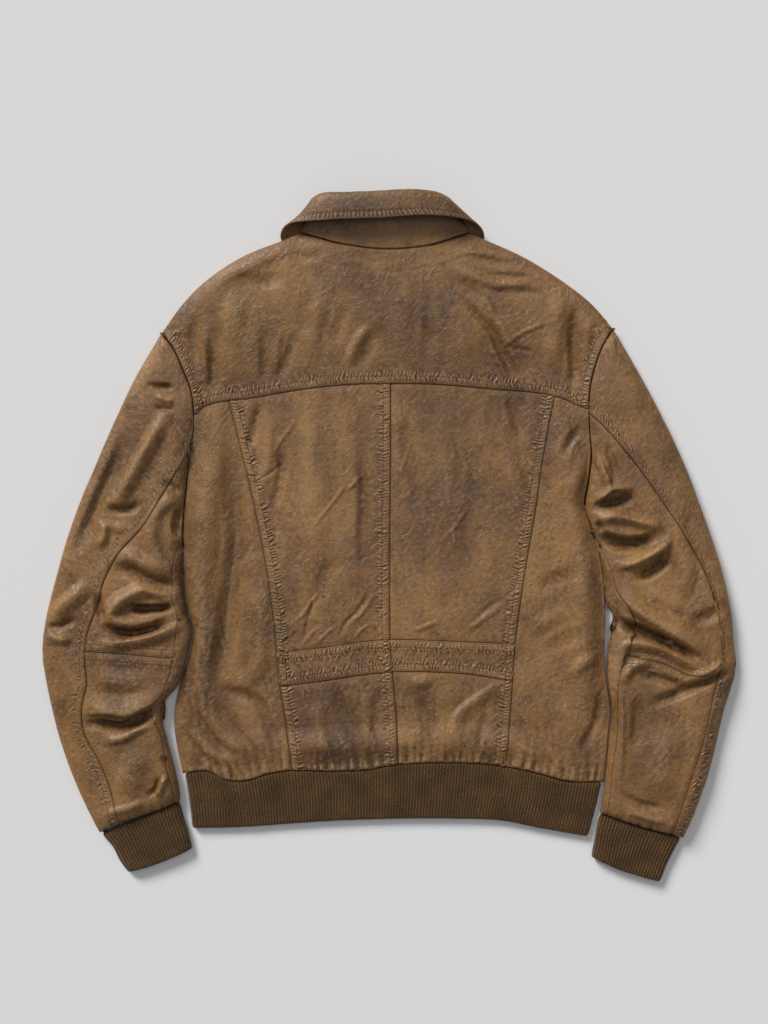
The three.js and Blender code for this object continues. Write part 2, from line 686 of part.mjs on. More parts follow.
// The fronts lie over the collar's ends, so they rise over them.
function collarLift(x, y) {
  const reach = 228 + 118 * Math.pow(Math.min(1, Math.abs(x + 8) / 122), 4);
  return COLLAR_LIFT * smooth((y - reach + 34) / 20);
}
const underHeight = under([...bodyOutlines, ...sleeveOutlines.flat()], collarLift);

function front(name, side, armhole, shoulder, hemX, edgeX, neck, mirrored) {
  const outer = join(side, armhole);
  const turn = side.size / outer.size;
  const vs = even(FRONT_ROWS);
  const below = spread(0, turn, even(FRONT_ROWS - UNDER_COLUMNS));
  const rows = chained(below, spread(turn, 1, closerAtBoth(UNDER_COLUMNS)));
  const outerTimed = timed(outer, vs, rows);
  const top = join(shoulder, neck);
  const corner = shoulder.size / top.size;
  const us = even(12);
  const topTimed = timed(top, us, chained(spread(0, corner, even(4)), spread(corner, 1, closerAtStart(8))));
  const bottom = between(hem, 0, hemX, edgeX);
  const [from, to] = [bottom.at(1), neck.at(1)];
  const frontEdge = through([from.x, from.y], [from.x, 0], [to.x, to.y]);
  // A mirrored patch turns the other way, so that its face already looks down.
  const place = patch(bottom, topTimed, outerTimed, frontEdge);
  bodyPanel(name, place, us, vs, underHeight, { flip: !mirrored, facing: -1 });
}

function frontPanels() {
  const [neckLeft, neckRight] = [part(neckSeam, NECK_LEFT, 0), part(neckSeam, NECK_RIGHT, 1)];
  front("front_left", sideLeft, armholeLeft, shoulderLeft, -242, -FRONT_EDGE, neckLeft, false);
  front("front_right", sideRight, armholeRight, shoulderRight, 252, FRONT_EDGE, neckRight, true);
}

// ---------------------------------------------------------------- sleeves

const ABOVE_ROWS = 11;
const BELOW_ROWS = 8;
const BACK_COLUMNS = 6;

function sleeve(side, s, outlines, armShares, folds) {
  const mirrored = side === "right";
  const armhole = drawnTo(s.armhole, s.outer.at(0), s.inner.at(0));
  const top = upper(
    (x, y) => SLEEVE_CROWN + foldsAt(folds, x, y),
    [
      ...outlines,
      edge(armhole, keyed(...backwards(ARMHOLE_HEIGHT)), 26, keyed(...backwards(ARMHOLE_ROUND))),
      edge(s.cuffSeam, 9, 22, 0.75),
    ],
  );
  const downward = armShares.map((share) => 1 - share).reverse();
  const [back, inner] = [downward[YOKE_ROWS + 1], downward.at(-2)];
  const cuffBack = where(s.cuffSeam, 0, s.backSeam.at(1).x);
  const cuffInner = where(s.cuffSeam, 0, s.innerSeam.at(1).x);
  const downSleeve = (line, from, to) => drawnTo(line, armhole.at(from), s.cuffSeam.at(to));
  const [outer, innerEdge] = [downSleeve(s.outer, 0, 0), downSleeve(s.inner, 1, 1)];
  const backSeam = downSleeve(s.backSeam, back, cuffBack);
  const elbow = where(backSeam, 1, s.elbow.at(0).y);
  const elbowInner = where(s.innerSeam, 1, s.elbow.at(1).y);
  const innerSeam = timed(downSleeve(s.innerSeam, inner, cuffInner), [0, elbow, 1], [0, elbowInner, 1]);
  const elbowSeam = drawnTo(s.elbow, backSeam.at(elbow), innerSeam.at(elbow));
  const rows = chained(spread(0, elbow, even(ABOVE_ROWS)), spread(elbow, 1, even(BELOW_ROWS)));

  // The top sleeve: from the back seam over the outer edge, across the underside, and up to the inner seam.
  const over = patch(part(armhole, back, 0), part(s.cuffSeam, cuffBack, 0), backSeam, outer);
  const overColumns = downward.slice(0, YOKE_ROWS + 2).map((share) => 1 - share / back).reverse();
  const beneath = patch(armhole, s.cuffSeam, outer, innerEdge);
  const upTo = patch(part(armhole, 1, inner), part(s.cuffSeam, 1, cuffInner), innerEdge, innerSeam);
  const round = [
    ...sheet(over, overColumns, rows, top),
    ...sheet(beneath, closerAtBoth(UNDER_COLUMNS), rows, underHeight).slice(1, -1),
    ...sheet(upTo, closerAtStart(2), rows, top),
  ];
  const [outerColumn, innerColumn] = [overColumns.length - 1, round.length - 3];
  const atSeam = (i, j, p) => {
    if (i > 0 && i < round.length - 1 && j > 0 && j < rows.length - 1) return null;
    if (i === outerColumn) return squareTo(outlines[0].line, p.x, p.y, p.x);
    if (i === innerColumn) return squareTo(outlines[1].line, p.x, p.y, -p.x);
    if (i < outerColumn || i > innerColumn) return fieldNormal(top, p.x, p.y);
    return fieldNormal(underHeight, p.x, p.y).multiplyScalar(-1);
  };
  const options = { flip: mirrored, sewn: "lrtb", startGap: ARMHOLE_GAP };
  add(`sleeve_${side}_top`, wall(round, LEATHER, { ...options, normalAt: atSeam }), leather());

  // The under sleeve, in two pieces that meet at the elbow seam.
  const pieces = [
    ["above_elbow", part(armhole, back, inner), elbowSeam, 0, elbow, ABOVE_ROWS],
    ["below_elbow", elbowSeam, part(s.cuffSeam, cuffBack, cuffInner), elbow, 1, BELOW_ROWS],
  ];
  for (const [name, low, high, from, to, count] of pieces) {
    const place = patch(low, high, part(backSeam, from, to), part(innerSeam, from, to));
    const points = sheet(place, even(BACK_COLUMNS), even(count), top);
    const inside = (i, j) => i > 0 && j > 0 && i < BACK_COLUMNS && j < count;
    const normalAt = (i, j, p) => (inside(i, j) ? null : fieldNormal(top, p.x, p.y));
    const startGap = name === "above_elbow" ? ARMHOLE_GAP : SEAM_GAP / 2;
    const cloth = wall(points, LEATHER, { ...options, flip: !mirrored, startGap, normalAt });
    add(`sleeve_${side}_${name}`, cloth, leather());
  }
}

// ---------------------------------------------------------------- ribbed knit

// The two faces of a flattened knit tube between two folded edges.
function flatTube(leftEdge, rightEdge, crown, height, reach) {
  const edges = [edge(leftEdge, height, reach, 0.5), edge(rightEdge, height, reach, 0.5)];
  const bottom = (x, y) => {
    const t = Math.min(1, ...edges.map((e) => nearest(e.line, x, y).d / reach));
    return height * (1 - Math.sqrt(1 - (1 - t) * (1 - t)));
  };
  return { top: upper(() => crown, edges), bottom };
}

function cuff(side, s) {
  const { top, bottom } = flatTube(s.cuffOuter, s.cuffInner, CUFF_CROWN, CUFF_EDGE, 9);
  const sewn = drawnTo(s.cuffSeam, s.cuffOuter.at(0), s.cuffInner.at(0));
  const place = patch(sewn, s.cuffEnd, s.cuffOuter, s.cuffInner);
  const [us, vs] = [closerAtBoth(8), even(3)];
  const round = [...sheet(place, us, vs, top), ...sheet(place, us, vs, bottom).slice(1, -1).reverse()];
  add(`cuff_${side}`, wall(round, KNIT, { flip: side === "left", sewn: "b", ring: true }), knit());
}

// One band round the hem, open at the zip: its back, and its two halves in front.
function hemBand() {
  const { top, bottom } = flatTube(ribLeft, ribRight, RIB_CROWN, RIB_EDGE, 5.5);
  const sewn = drawnTo(hem, ribLeft.at(0), ribRight.at(0));
  const gapped = named((t) => sewn.at(t).add(new THREE.Vector3(0, -RIB_GAP, 0)), sewn.size);
  const place = patch(ribBottom, gapped, reverse(ribLeft), reverse(ribRight));
  const hemAt = (x) => where(hem, 0, x);
  const [left, centre, right] = [-114, 10, 137].map(hemAt);
  const rolled = [0, 1.2 / hem.size, 3 / hem.size];
  const rolledBack = rolled.map((share) => 1 - share).reverse();
  const folded = (shares) => [...rolled, ...shares.slice(1, -1), ...rolledBack];
  const backColumns = folded(chained(
    spread(0, left, even(SIDE_COLUMNS)), spread(left, centre, even(CENTRE_COLUMNS)),
    spread(centre, right, even(CENTRE_COLUMNS)), spread(right, 1, even(SIDE_COLUMNS)),
  ));
  const frontColumns = (from, to) => spread(hemAt(from), to, even(12)).slice(0, -1);
  const ends = [rolled.toReversed(), rolled.map((share) => 1 - share).toReversed()];
  const vs = even(3);
  const frontLeft = sheet(place, [...frontColumns(-FRONT_EDGE, 0), ...ends[0]], vs, bottom);
  const frontRight = sheet(place, [...frontColumns(FRONT_EDGE, 1), ...ends[1]], vs, bottom);
  const back = sheet(place, backColumns, vs, top);
  const columns = [...frontLeft.slice(0, -1), ...back, ...frontRight.slice(0, -1).reverse()];
  add("hem_band", wall(columns, KNIT), knit());
}

// ---------------------------------------------------------------- collar

// The collar leaf: up from the neck seam as a stand, over the fold, and down as the fall to its free
// edge.
function collar() {
  const [flatFold, highFold] = [3.6, 31.5];
  const rail = (a, b, t, lift) => a.clone().lerp(b, t).add(new THREE.Vector3(0, 0, lift));
  const [fold, fall] = [collarFold, collarEdge].map((line) => timed(line, neckShares, neckShares));
  const points = neckShares.map((s) => {
    const [n, f, e] = [neckSeam.at(s), fold.at(s), fall.at(s)];
    if (s < NECK_LEFT || s > NECK_RIGHT) n.z = Math.min(n.z, underHeight(n.x, n.y) + LEATHER / 2);
    const loft = THREE.MathUtils.clamp((f.z - flatFold) / (highFold - flatFold), 0, 1);
    const lifted = (high, low) => high * loft + low * (1 - loft);
    const rails = [
      n, rail(n, f, 0.3, lifted(-2.2, 0.3)), rail(n, f, 0.84, lifted(-2.6, 1.6)), f,
      rail(f, e, 0.12, lifted(3.6, -1.4)), rail(f, e, 0.5, lifted(3.2, -0.6)), e,
    ];
    const section = new THREE.CatmullRomCurve3(rails, false, "centripetal");
    return even(10).map((t) => section.getPoint(t));
  });
  add("collar", wall(points, LEATHER, { sewn: "b", startGap: NECK_GAP, middle: true }), leather());
}

// ---------------------------------------------------------------- zip, closed

const CHAIN_WIDTH = 4.4;
const CHAIN_LOW = 2.4; // heights above the fronts' outer face
const CHAIN_HIGH = 4.8;
const TAPE_LOW = LEATHER + 1;
const TAPE_HIGH = TAPE_LOW + 0.7;
const TAPE_WIDTH = 12;
const ZIP_FOOT = -318;
const SLIDER_FOOT = 252;
const SLIDER_LENGTH = 13;
const SLIDER_WIDTH = 8.4;

// A straight strip along the front opening with a rectangular section. Its rows are those of the front
// edge, so that it follows the rise of the fronts.
function zipStrip(name, [x0, x1], [z0, z1], [foot, head], material) {
  const edgeRows = spread(pointOn(hem, 0, 0).y, neckSeam.at(0).y, even(FRONT_ROWS));
  const rows = [foot, ...edgeRows.filter((y) => y < head - 1), head];
  const steps = rows.length - 1;
  const section = [[x0, z0], [x1, z0], [x1, z1], [x0, z1]];
  const vertices = rows.flatMap((y) => section.flatMap(([x, z]) => [x, y, z + collarLift(0, y)]));
  const triangles = [];
  for (let r = 0; r < steps; r++)
    for (let k = 0; k < 4; k++) {
      const [a, b] = [4 * r + k, 4 * r + ((k + 1) % 4)];
      triangles.push(a, b + 4, b, a, a + 4, b + 4);
    }
  const end = 4 * steps;
  triangles.push(0, 1, 2, 0, 2, 3, end, end + 2, end + 1, end, end + 3, end + 2);
  const geometry = new THREE.BufferGeometry()
    .setAttribute("position", new THREE.Float32BufferAttribute(vertices, 3))
    .setIndex(triangles);
  return add(name, geometry, material);
}

// The slider is two plates, below and above the tapes, joined by a post past the end of the chain and
// the tapes.
function zipSlider() {
  const plate = 1;
  const [low, high] = [CHAIN_LOW - 0.3 - plate, CHAIN_HIGH + 0.3 + plate];
  const side = new THREE.Shape();
  const [post, l] = [SLIDER_LENGTH * 0.6, SLIDER_LENGTH];
  const corners = [
    [0, low], [l, low], [l, low + plate], [post + 2, low + plate],
    [post + 2, high - plate], [l, high - plate], [l, high],
    [0, high], [0, high - plate], [post, high - plate], [post, low + plate], [0, low + plate],
  ];
  corners.forEach(([y, z], i) => (i ? side.lineTo(y, z) : side.moveTo(y, z)));
  side.closePath();
  const geometry = new THREE.ExtrudeGeometry(side, { depth: SLIDER_WIDTH, bevelEnabled: false });
  const slider = add("zip_slider", geometry, metal());
  slider.rotation.set(Math.PI / 2, Math.PI / 2, 0);
  slider.position.set(-SLIDER_WIDTH / 2, SLIDER_FOOT, COLLAR_LIFT);
}

function zip() {
  const half = CHAIN_WIDTH / 2;
  const post = SLIDER_FOOT + SLIDER_LENGTH * 0.6;
  const [inner, outer] = [half + 0.3, half + 0.3 + TAPE_WIDTH];
  zipStrip("zip_chain", [-half, half], [CHAIN_LOW, CHAIN_HIGH], [ZIP_FOOT, post - 0.4], metal());
  zipStrip("zip_tape_left", [-outer, -inner], [TAPE_LOW, TAPE_HIGH], [ZIP_FOOT, post - 0.4], tape());
  zipStrip("zip_tape_right", [inner, outer], [TAPE_LOW, TAPE_HIGH], [ZIP_FOOT, post - 0.4], tape());
  zipSlider();
}

backPanels();
frontPanels();
sleeve("left", LEFT, sleeveOutlines[0], armSharesLeft, sleeveFolds.left);
sleeve("right", RIGHT, sleeveOutlines[1], armSharesRight, sleeveFolds.right);
cuff("left", LEFT);
cuff("right", RIGHT);
hemBand();
collar();
zip();

// The origin is below the middle of the whole jacket, on the ground.
const bounds = new THREE.Box3().setFromObject(jacket, true);
jacket.position.set(-(bounds.min.x + bounds.max.x) / 2, -(bounds.min.y + bounds.max.y) / 2, -bounds.min.z);

export default jacket;
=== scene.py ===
"""A worn brown leather bomber jacket with ribbed knit hem and cuffs, laid flat on its front."""

import math

import bpy
import numpy as np
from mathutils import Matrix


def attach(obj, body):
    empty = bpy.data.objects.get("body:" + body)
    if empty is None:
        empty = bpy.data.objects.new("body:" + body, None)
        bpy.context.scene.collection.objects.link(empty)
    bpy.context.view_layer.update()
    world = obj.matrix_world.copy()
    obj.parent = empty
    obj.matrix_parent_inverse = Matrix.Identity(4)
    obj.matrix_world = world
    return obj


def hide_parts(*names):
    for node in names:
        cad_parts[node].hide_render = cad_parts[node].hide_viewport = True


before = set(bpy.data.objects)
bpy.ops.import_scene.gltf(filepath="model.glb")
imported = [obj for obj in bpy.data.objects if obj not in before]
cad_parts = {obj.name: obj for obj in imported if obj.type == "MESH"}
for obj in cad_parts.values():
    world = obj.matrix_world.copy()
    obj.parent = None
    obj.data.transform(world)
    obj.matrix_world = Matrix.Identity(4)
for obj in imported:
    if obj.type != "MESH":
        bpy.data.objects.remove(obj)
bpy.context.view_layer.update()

# ------------------------------------------------------------------ sizes, in millimetres, as in the CAD

MM = 0.001
ORIGIN = np.array([-0.12, 0.33, 0.0])  # from the curves' own origin to the model's
LEATHER = 2.5
KNIT = 2.5
SEAM_SHOWN = 0.06  # each side of a seam stays this far from its line
RIB_GAP = 0.8
BACK_CROWN = 8.8
SHOULDER_CROWN = 18
SLEEVE_CROWN = 20
RIB_CROWN = 8
CUFF_CROWN = 10.5
SIDE_EDGE = 7.2
SHOULDER_EDGE = 9
NECK_EDGE = 11.5
RIB_EDGE = 4
CUFF_EDGE = 5.2
UNDER_ROLL = 12
COLLAR_LIFT = 4.4
FRONT_EDGE = 4.5
FINE = 1.12  # spacing of the points along a puckered seam
ACROSS = 1.9  # spacing away from it
COARSE = 5.0  # spacing on the hidden fronts and underside
INNER_STEP = 6  # the inner face has one point for this many of the outer face's
INNER_DROP = 1.0  # the coarse inner face stays this far below the lowest outer point near it
INNER_FLOOR = 0.3  # and at least this far above the floor
STITCH_PITCH = 3.6
STITCH_MARGIN = 3.0  # from the end of a seam to its first stitch
YOKE_END_LEFT = 143  # where the yoke seam meets each armhole
YOKE_END_RIGHT = 150

# ------------------------------------------------------------------ curves


class Curve:
    """A line in space, read by the share of its length."""

    def __init__(self, points):
        self.points = np.asarray(points, float)
        pieces_between = np.linalg.norm(np.diff(self.points, axis=0), axis=1)
        length = np.concatenate(([0.0], np.cumsum(pieces_between)))
        self.size = length[-1]
        self.shares = length / self.size

    def at(self, s):
        s = np.clip(s, 0, 1)
        return np.stack([np.interp(s, self.shares, self.points[:, k]) for k in range(3)], -1)


def through(*points):
    """A smooth curve through points: a centripetal Catmull-Rom spline."""
    p = np.array([(*q, 0.0)[:3] for q in points], float)
    p = np.vstack((2 * p[0] - p[1], p, 2 * p[-1] - p[-2]))
    t = np.linspace(0, 1, 17)[:, None]
    out = [p[1:2]]
    for a, b, c, d in zip(p, p[1:], p[2:], p[3:]):
        ab, bc, cd = (max(1e-4, np.linalg.norm(v) ** 0.5) for v in (b - a, c - b, d - c))
        m1 = ((b - a) / ab - (c - a) / (ab + bc) + (c - b) / bc) * bc
        m2 = ((c - b) / bc - (d - b) / (bc + cd) + (d - c) / cd) * bc
        cubic = b + t * (m1 + t * (3 * (c - b) - 2 * m1 - m2 + t * (2 * (b - c) + m1 + m2)))
        out.append(cubic[1:])
    return Curve(np.vstack(out))


def part(curve, a, b):
    """The stretch of a curve between two shares of its length."""
    return Curve(curve.at(np.linspace(a, b, 240)))


def reverse(curve):
    return Curve(curve.points[::-1])


def join(*curves):
    return Curve(np.vstack([curves[0].points] + [c.points[1:] for c in curves[1:]]))


def where(curve, axis, value):
    """The share of a curve's length at which its x (0) or y (1) first reaches a value."""
    v = curve.points[:, axis] - value
    crossing = np.nonzero(v[:-1] * v[1:] <= 0)[0]
    if not len(crossing):
        return 0.0 if abs(v[0]) < abs(v[-1]) else 1.0
    i = crossing[0]
    t = v[i] / (v[i] - v[i + 1]) if v[i] != v[i + 1] else 0.0
    return curve.shares[i] + t * (curve.shares[i + 1] - curve.shares[i])


def between(curve, axis, a, b):
    return part(curve, where(curve, axis, a), where(curve, axis, b))


def point_on(curve, axis, value):
    return curve.at(where(curve, axis, value))


def drawn_to(curve, start, end):
    """The curve, with its ends drawn to two given points."""
    s = np.linspace(0, 1, 300)[:, None]
    p = curve.at(s[:, 0])
    return Curve(p + (start - p[0]) * (1 - s) + (end - p[-1]) * s)


# ------------------------------------------------------------------ outlines and seams of the body

UNDERARM_LEFT = (-241, -12)
UNDERARM_RIGHT = (245, -10)
SHOULDER_LEFT = (-266, 240)
SHOULDER_RIGHT = (262, 245)

side_left = through(
    (-242, -277), (-249, -243), (-252, -211), (-247, -179), (-236, -143), (-229, -111), (-236, -87),
    (-241, -50), UNDERARM_LEFT,
)
side_right = through(
    (252, -287), (255, -260), (257, -237), (260, -202), (255, -167), (253, -138), (254, -97), (252, -50),
    UNDERARM_RIGHT,
)
armhole_left = through(
    UNDERARM_LEFT, (-241, 15), (-238, 50), (-234, 88), (-229, 123), (-228, 148), (-231, 172), (-241, 198),
    (-252, 222), SHOULDER_LEFT,
)
armhole_right = through(
    UNDERARM_RIGHT, (236, 15), (229, 38), (233, 67), (236, 96), (234, 125), (233, 151), (234, 174),
    (240, 200), (249, 224), SHOULDER_RIGHT,
)
shoulder_left = through(SHOULDER_LEFT, (-242, 273), (-214, 301), (-171, 329), (-122, 348.5), (-105, 356))
shoulder_right = through(SHOULDER_RIGHT, (238, 273), (202, 301), (156, 329), (112, 348.5), (95, 356))
hem = through(
    (-242, -277), (-213, -274), (-192, -284), (-168, -285), (-142, -277), (-116, -273), (-69, -274),
    (-22, -272), (1, -267), (60, -264), (118, -266), (165, -274), (212, -286), (252, -287),
)
yoke_line = through(
    (-228, 143), (-220, 151), (-202, 158), (-162, 163), (-104, 173), (-45, 179), (5, 180), (59, 179),
    (117, 174), (176, 169), (205, 162), (222, 154), (233, 150),
)
yoke_seam = drawn_to(
    yoke_line, point_on(armhole_left, 1, YOKE_END_LEFT), point_on(armhole_right, 1, YOKE_END_RIGHT),
)


def down_to(yoke_x, hem_x, line):
    """A line down the back, drawn to the yoke seam and the hem at two places across."""
    return drawn_to(line, point_on(yoke_seam, 0, yoke_x), point_on(hem, 0, hem_x))


princess_left = down_to(-188, -114, through(
    (-188, 158.5), (-174, 102), (-160, 44), (-146, -26), (-137, -85), (-132, -135), (-128, -175),
    (-120, -225), (-114, -273.2),
))
princess_right = down_to(194, 137, through(
    (194, 165.2), (182, 102), (172, 32), (162, -26), (153, -85), (148, -125), (145, -169), (141, -225),
    (137, -268.6),
))
centre_back = down_to(2, 10, through(
    (2, 180), (2, 102), (1, -15), (1.5, -120), (4, -158), (9, -213), (10, -266.2),
))
band_top = through((-132, -135), (-81, -130), (-34, -123), (1.5, -120), (48, -121), (95, -123), (148, -125))
band_bottom = through((-128, -175), (-81, -169), (-34, -162), (4, -158), (48, -158), (95, -161), (145, -169))

# ------------------------------------------------------------------ outlines of the sleeves, ribs and collar

SLEEVES = {
    "left": {
        "armhole": reverse(armhole_left),
        "back_at": 130,
        "inner_at": 12,
        "outer": through(
            (-266.6, 239.3), (-296, 189), (-323, 133), (-347, 77), (-370, 20), (-387, -36), (-401, -92),
            (-406, -134), (-400, -176), (-387, -232), (-367, -288), (-339, -346),
        ),
        "inner": through(
            (-241.8, -12.2), (-242, -50), (-237, -87), (-230.5, -110), (-237, -140), (-246.5, -171),
            (-264, -195), (-265, -216), (-259, -240), (-250, -275), (-245, -300), (-245, -309),
        ),
        "cuff_seam": through((-339, -346), (-315, -335), (-291, -327), (-268, -319), (-245, -309)),
        "back_seam": through(
            (-229, 130), (-233, 107), (-244, 84), (-265, 49), (-288, 12), (-314, -17), (-331, -47),
            (-340, -78), (-353, -118), (-354, -151), (-352, -170), (-358, -199), (-355, -228),
            (-338, -260), (-325, -292), (-315, -335),
        ),
        "inner_seam": through(
            (-241, 12), (-250, -30), (-252, -65), (-247, -88), (-246, -102), (-249, -122), (-254, -155),
            (-264, -183), (-278, -203), (-270, -219), (-263, -240), (-259, -268), (-253, -290),
            (-251, -311.5),
        ),
        "elbow": through((-355, -133), (-312, -136), (-266, -140), (-251.3, -141)),
        "cuff_outer": through((-336, -349.5), (-325, -362), (-316, -379), (-306, -393)),
        "cuff_inner": through((-246, -310.5), (-242, -326), (-236, -345), (-231, -365)),
        "cuff_end": through((-306, -393), (-281, -386), (-257, -377), (-231, -365)),
    },
    "right": {
        "armhole": reverse(armhole_right),
        "back_at": 146,
        "inner_at": 16,
        "outer": through(
            (262.6, 244.3), (287, 203), (317, 147), (344, 91), (366, 34), (385, -22), (399, -78),
            (404, -120), (406, -153), (392, -204), (379, -260), (360, -317), (345, -352),
        ),
        "inner": through(
            (246, -12), (253, -50), (255, -78), (266, -97), (259.5, -116), (256.5, -136), (256, -165),
            (261, -202), (258, -237), (256, -262), (253, -290), (247, -323),
        ),
        "cuff_seam": through((345, -352), (317, -345), (294, -339), (270, -331), (247, -323)),
        "back_seam": through(
            (233, 146), (251, 129), (291, 81), (333, 20), (357, -19), (374, -55), (384, -90), (388, -122),
            (387, -148), (377, -190), (367, -237), (350, -290), (331, -348.5),
        ),
        "inner_seam": through(
            (237, 16), (258, -34), (267, -63), (281, -84), (289, -104), (277, -125), (270, -148),
            (266, -189), (265, -236), (260, -271), (257, -306), (255, -326),
        ),
        "elbow": through((387, -148), (367, -161), (349, -161), (326, -150), (291, -140), (271.5, -137)),
        "cuff_outer": through((342, -353.5), (335, -366), (326, -384), (318, -404)),
        "cuff_inner": through((248, -325), (244, -341), (241, -359), (238, -375)),
        "cuff_end": through((318, -404), (300, -399), (268, -389), (238, -375)),
    },
}

rib_left = through((-240, -278.5), (-236, -299), (-233, -323), (-231, -341))
rib_right = through((250, -288.5), (246, -305), (241, -326), (234, -351))
rib_bottom = through(
    (-231, -341), (-175, -340), (-104, -335), (-52, -332), (13, -330), (72, -330), (130, -332), (177, -341),
    (234, -351),
)
neck_seam = through(
    (-5, 272, 5.6), (-48, 291, 5.6), (-89, 334, 5.8), (-105, 356, 11), (-92, 353, 15), (-58, 343, 17.2),
    (-5, 336, 17.5), (48, 341, 17.2), (82, 352, 15), (95, 356, 11.3), (81, 334, 5.8), (44, 291, 5.6),
    (5, 272, 5.6),
)
collar_fold = through(
    (-5, 296, 3.6), (-36, 318, 3.6), (-76, 368, 5), (-91, 391, 15), (-80, 398, 25), (-50, 399, 30),
    (-8, 401, 31.5), (35, 402, 30.5), (60, 398, 25), (72, 391, 15), (60, 368, 5), (30, 318, 3.6),
    (5, 296, 3.6),
)
collar_edge = through(
    (-50, 244, 1.6), (-86, 262, 1.6), (-114, 308, 1.6), (-124, 342, 2.2), (-127, 354, 8), (-118, 364, 20),
    (-72, 367, 33), (-10, 369, 35), (50, 372, 35), (98, 367, 20), (111, 356, 8), (111, 342, 2.2),
    (100, 308, 1.6), (72, 262, 1.6), (40, 244, 1.6),
)
NECK_POINT_Y = 355.9  # where the shoulder seams end
NECK_LEFT = where(neck_seam, 1, NECK_POINT_Y)
NECK_RIGHT = 1 - where(reverse(neck_seam), 1, NECK_POINT_Y)

# ------------------------------------------------------------------ noise


def noise(x, y, seed=0):
    """Smooth gradient noise, about -1 to 1, with one bump in each unit square."""
    xi, yi = np.floor(x).astype(np.int64), np.floor(y).astype(np.int64)
    fx, fy = x - xi, y - yi

    def corner(dx, dy):
        n = ((xi + dx) * 374761393 + (yi + dy) * 668265263 + seed * 974634777) & 0xFFFFFFFF
        n = ((n ^ (n >> 13)) * 1274126177) & 0xFFFFFFFF
        angle = ((n ^ (n >> 16)) & 0xFFFF) * (2 * math.pi / 65536)
        return np.cos(angle) * (fx - dx) + np.sin(angle) * (fy - dy)

    u = fx * fx * fx * (fx * (fx * 6 - 15) + 10)
    v = fy * fy * fy * (fy * (fy * 6 - 15) + 10)
    low = corner(0, 0) * (1 - u) + corner(1, 0) * u
    high = corner(0, 1) * (1 - u) + corner(1, 1) * u
    return 1.5 * (low * (1 - v) + high * v)


def crumple(x, y, size, along, stretch, seed):
    """Soft creases about `size` apart, longer by `stretch` along an angle: sharp valleys, round tops."""
    c, s = math.cos(along), math.sin(along)
    u, v = (x * c + y * s) / (size * stretch), (y * c - x * s) / size
    wu, wv = noise(u * 0.7, v * 0.7, seed + 1), noise(u * 0.7, v * 0.7, seed + 2)
    n = noise(u + 0.8 * wu, v + 0.8 * wv, seed)
    return 1 - np.exp(-np.abs(n) * 5) - 0.6


# ------------------------------------------------------------------ heights


def smooth(t):
    """0 below 0, 1 above 1, and an even rise between."""
    t = np.clip(t, 0, 1)
    return t * t * (3 - 2 * t)


def keyed(*pairs):
    """Values keyed along a curve, joined smoothly."""
    at = np.array([p[0] for p in pairs], float)
    values = np.array([p[1] for p in pairs], float)

    def value(s):
        i = np.clip(np.searchsorted(at, s) - 1, 0, len(at) - 2)
        return values[i] + (values[i + 1] - values[i]) * smooth((s - at[i]) / (at[i + 1] - at[i]))

    return value


def nearest(line, x, y):
    """Distance to a polyline, the share of it at the nearest place, and the side (1 is left of it)."""
    best = np.full(x.shape, np.inf)
    share = np.zeros(x.shape)
    side = np.ones(x.shape)
    count = len(line) - 1
    for i in range(count):
        ax, ay = line[i]
        dx, dy = line[i + 1] - line[i]
        t = np.clip(((x - ax) * dx + (y - ay) * dy) / (dx * dx + dy * dy), 0, 1)
        ex, ey = x - ax - t * dx, y - ay - t * dy
        d = ex * ex + ey * ey
        nearer = d < best
        best = np.where(nearer, d, best)
        share = np.where(nearer, (i + t) / count, share)
        side = np.where(nearer, np.where(dx * ey - dy * ex >= 0, 1, -1), side)
    return np.sqrt(best), share, side


def polyline(curve, count):
    """The curve in plan, as a number of straight stretches."""
    return curve.at(np.linspace(0, 1, count + 1))[:, :2]


def edge(curve, height, roll, rounding):
    """An edge to which the cloth comes down: its height, the distance, and round (0.5) or straight (1)."""

    def along(value):
        return value if callable(value) else lambda s: np.full(np.shape(s), float(value))

    return polyline(curve, 40), along(height), along(roll), along(rounding)


def upper(crown, edges):
    """The upper surface: the crown, brought down near each edge to that edge's height."""

    def height(x, y):
        remains, weights, heights = 1.0, 1e-9, 0.0
        for line, level, roll, rounding in edges:
            d, s, _ = nearest(line, x, y)
            t = np.minimum(1, d / roll(s))
            left = 1 - (1 - (1 - t) ** 2) ** rounding(s)
            weight = left**6
            remains = remains * (1 - left)
            weights = weights + weight
            heights = heights + weight * level(s)
        base = heights / weights
        return base + (crown(x, y) - base) * remains

    return height


def under(outlines, lift):
    """The underside: flat on the ground, rounded up to the height of the outline near it."""

    def height(x, y):
        z = lift(x, y)
        for line, level, _, _ in outlines:
            d, s, _ = nearest(line, x, y)
            t = np.minimum(1, d / UNDER_ROLL)
            z = z + (level(s) - z) * (1 - np.sqrt(1 - (1 - t) ** 2))
        return z

    return height


def fold(height, left, right, *points, sharp=1.0):
    """A ridge, or a trough below 0, along a crest, with its own width on each side."""
    return polyline(through(*points), 5 * len(points)), height, left, right, sharp


def folds_at(folds, x, y):
    """The sum of the folds' heights; each tapers out towards both ends."""
    total = np.zeros(np.shape(x))
    for line, height, left, right, sharp in folds:
        reach = max(left, right)
        low, high = line.min(0) - reach, line.max(0) + reach
        near = (x > low[0]) & (x < high[0]) & (y > low[1]) & (y < high[1])
        if not near.any():
            continue
        d, s, side = nearest(line, x[near], y[near])
        t = np.minimum(1, d / np.where(side > 0, left, right))
        fade = smooth(s * 2.6 + 0.14) * smooth((1 - s) * 2.6 + 0.14)
        total[near] += height * ((1 - t * t) ** 2) ** sharp * fade
    return total


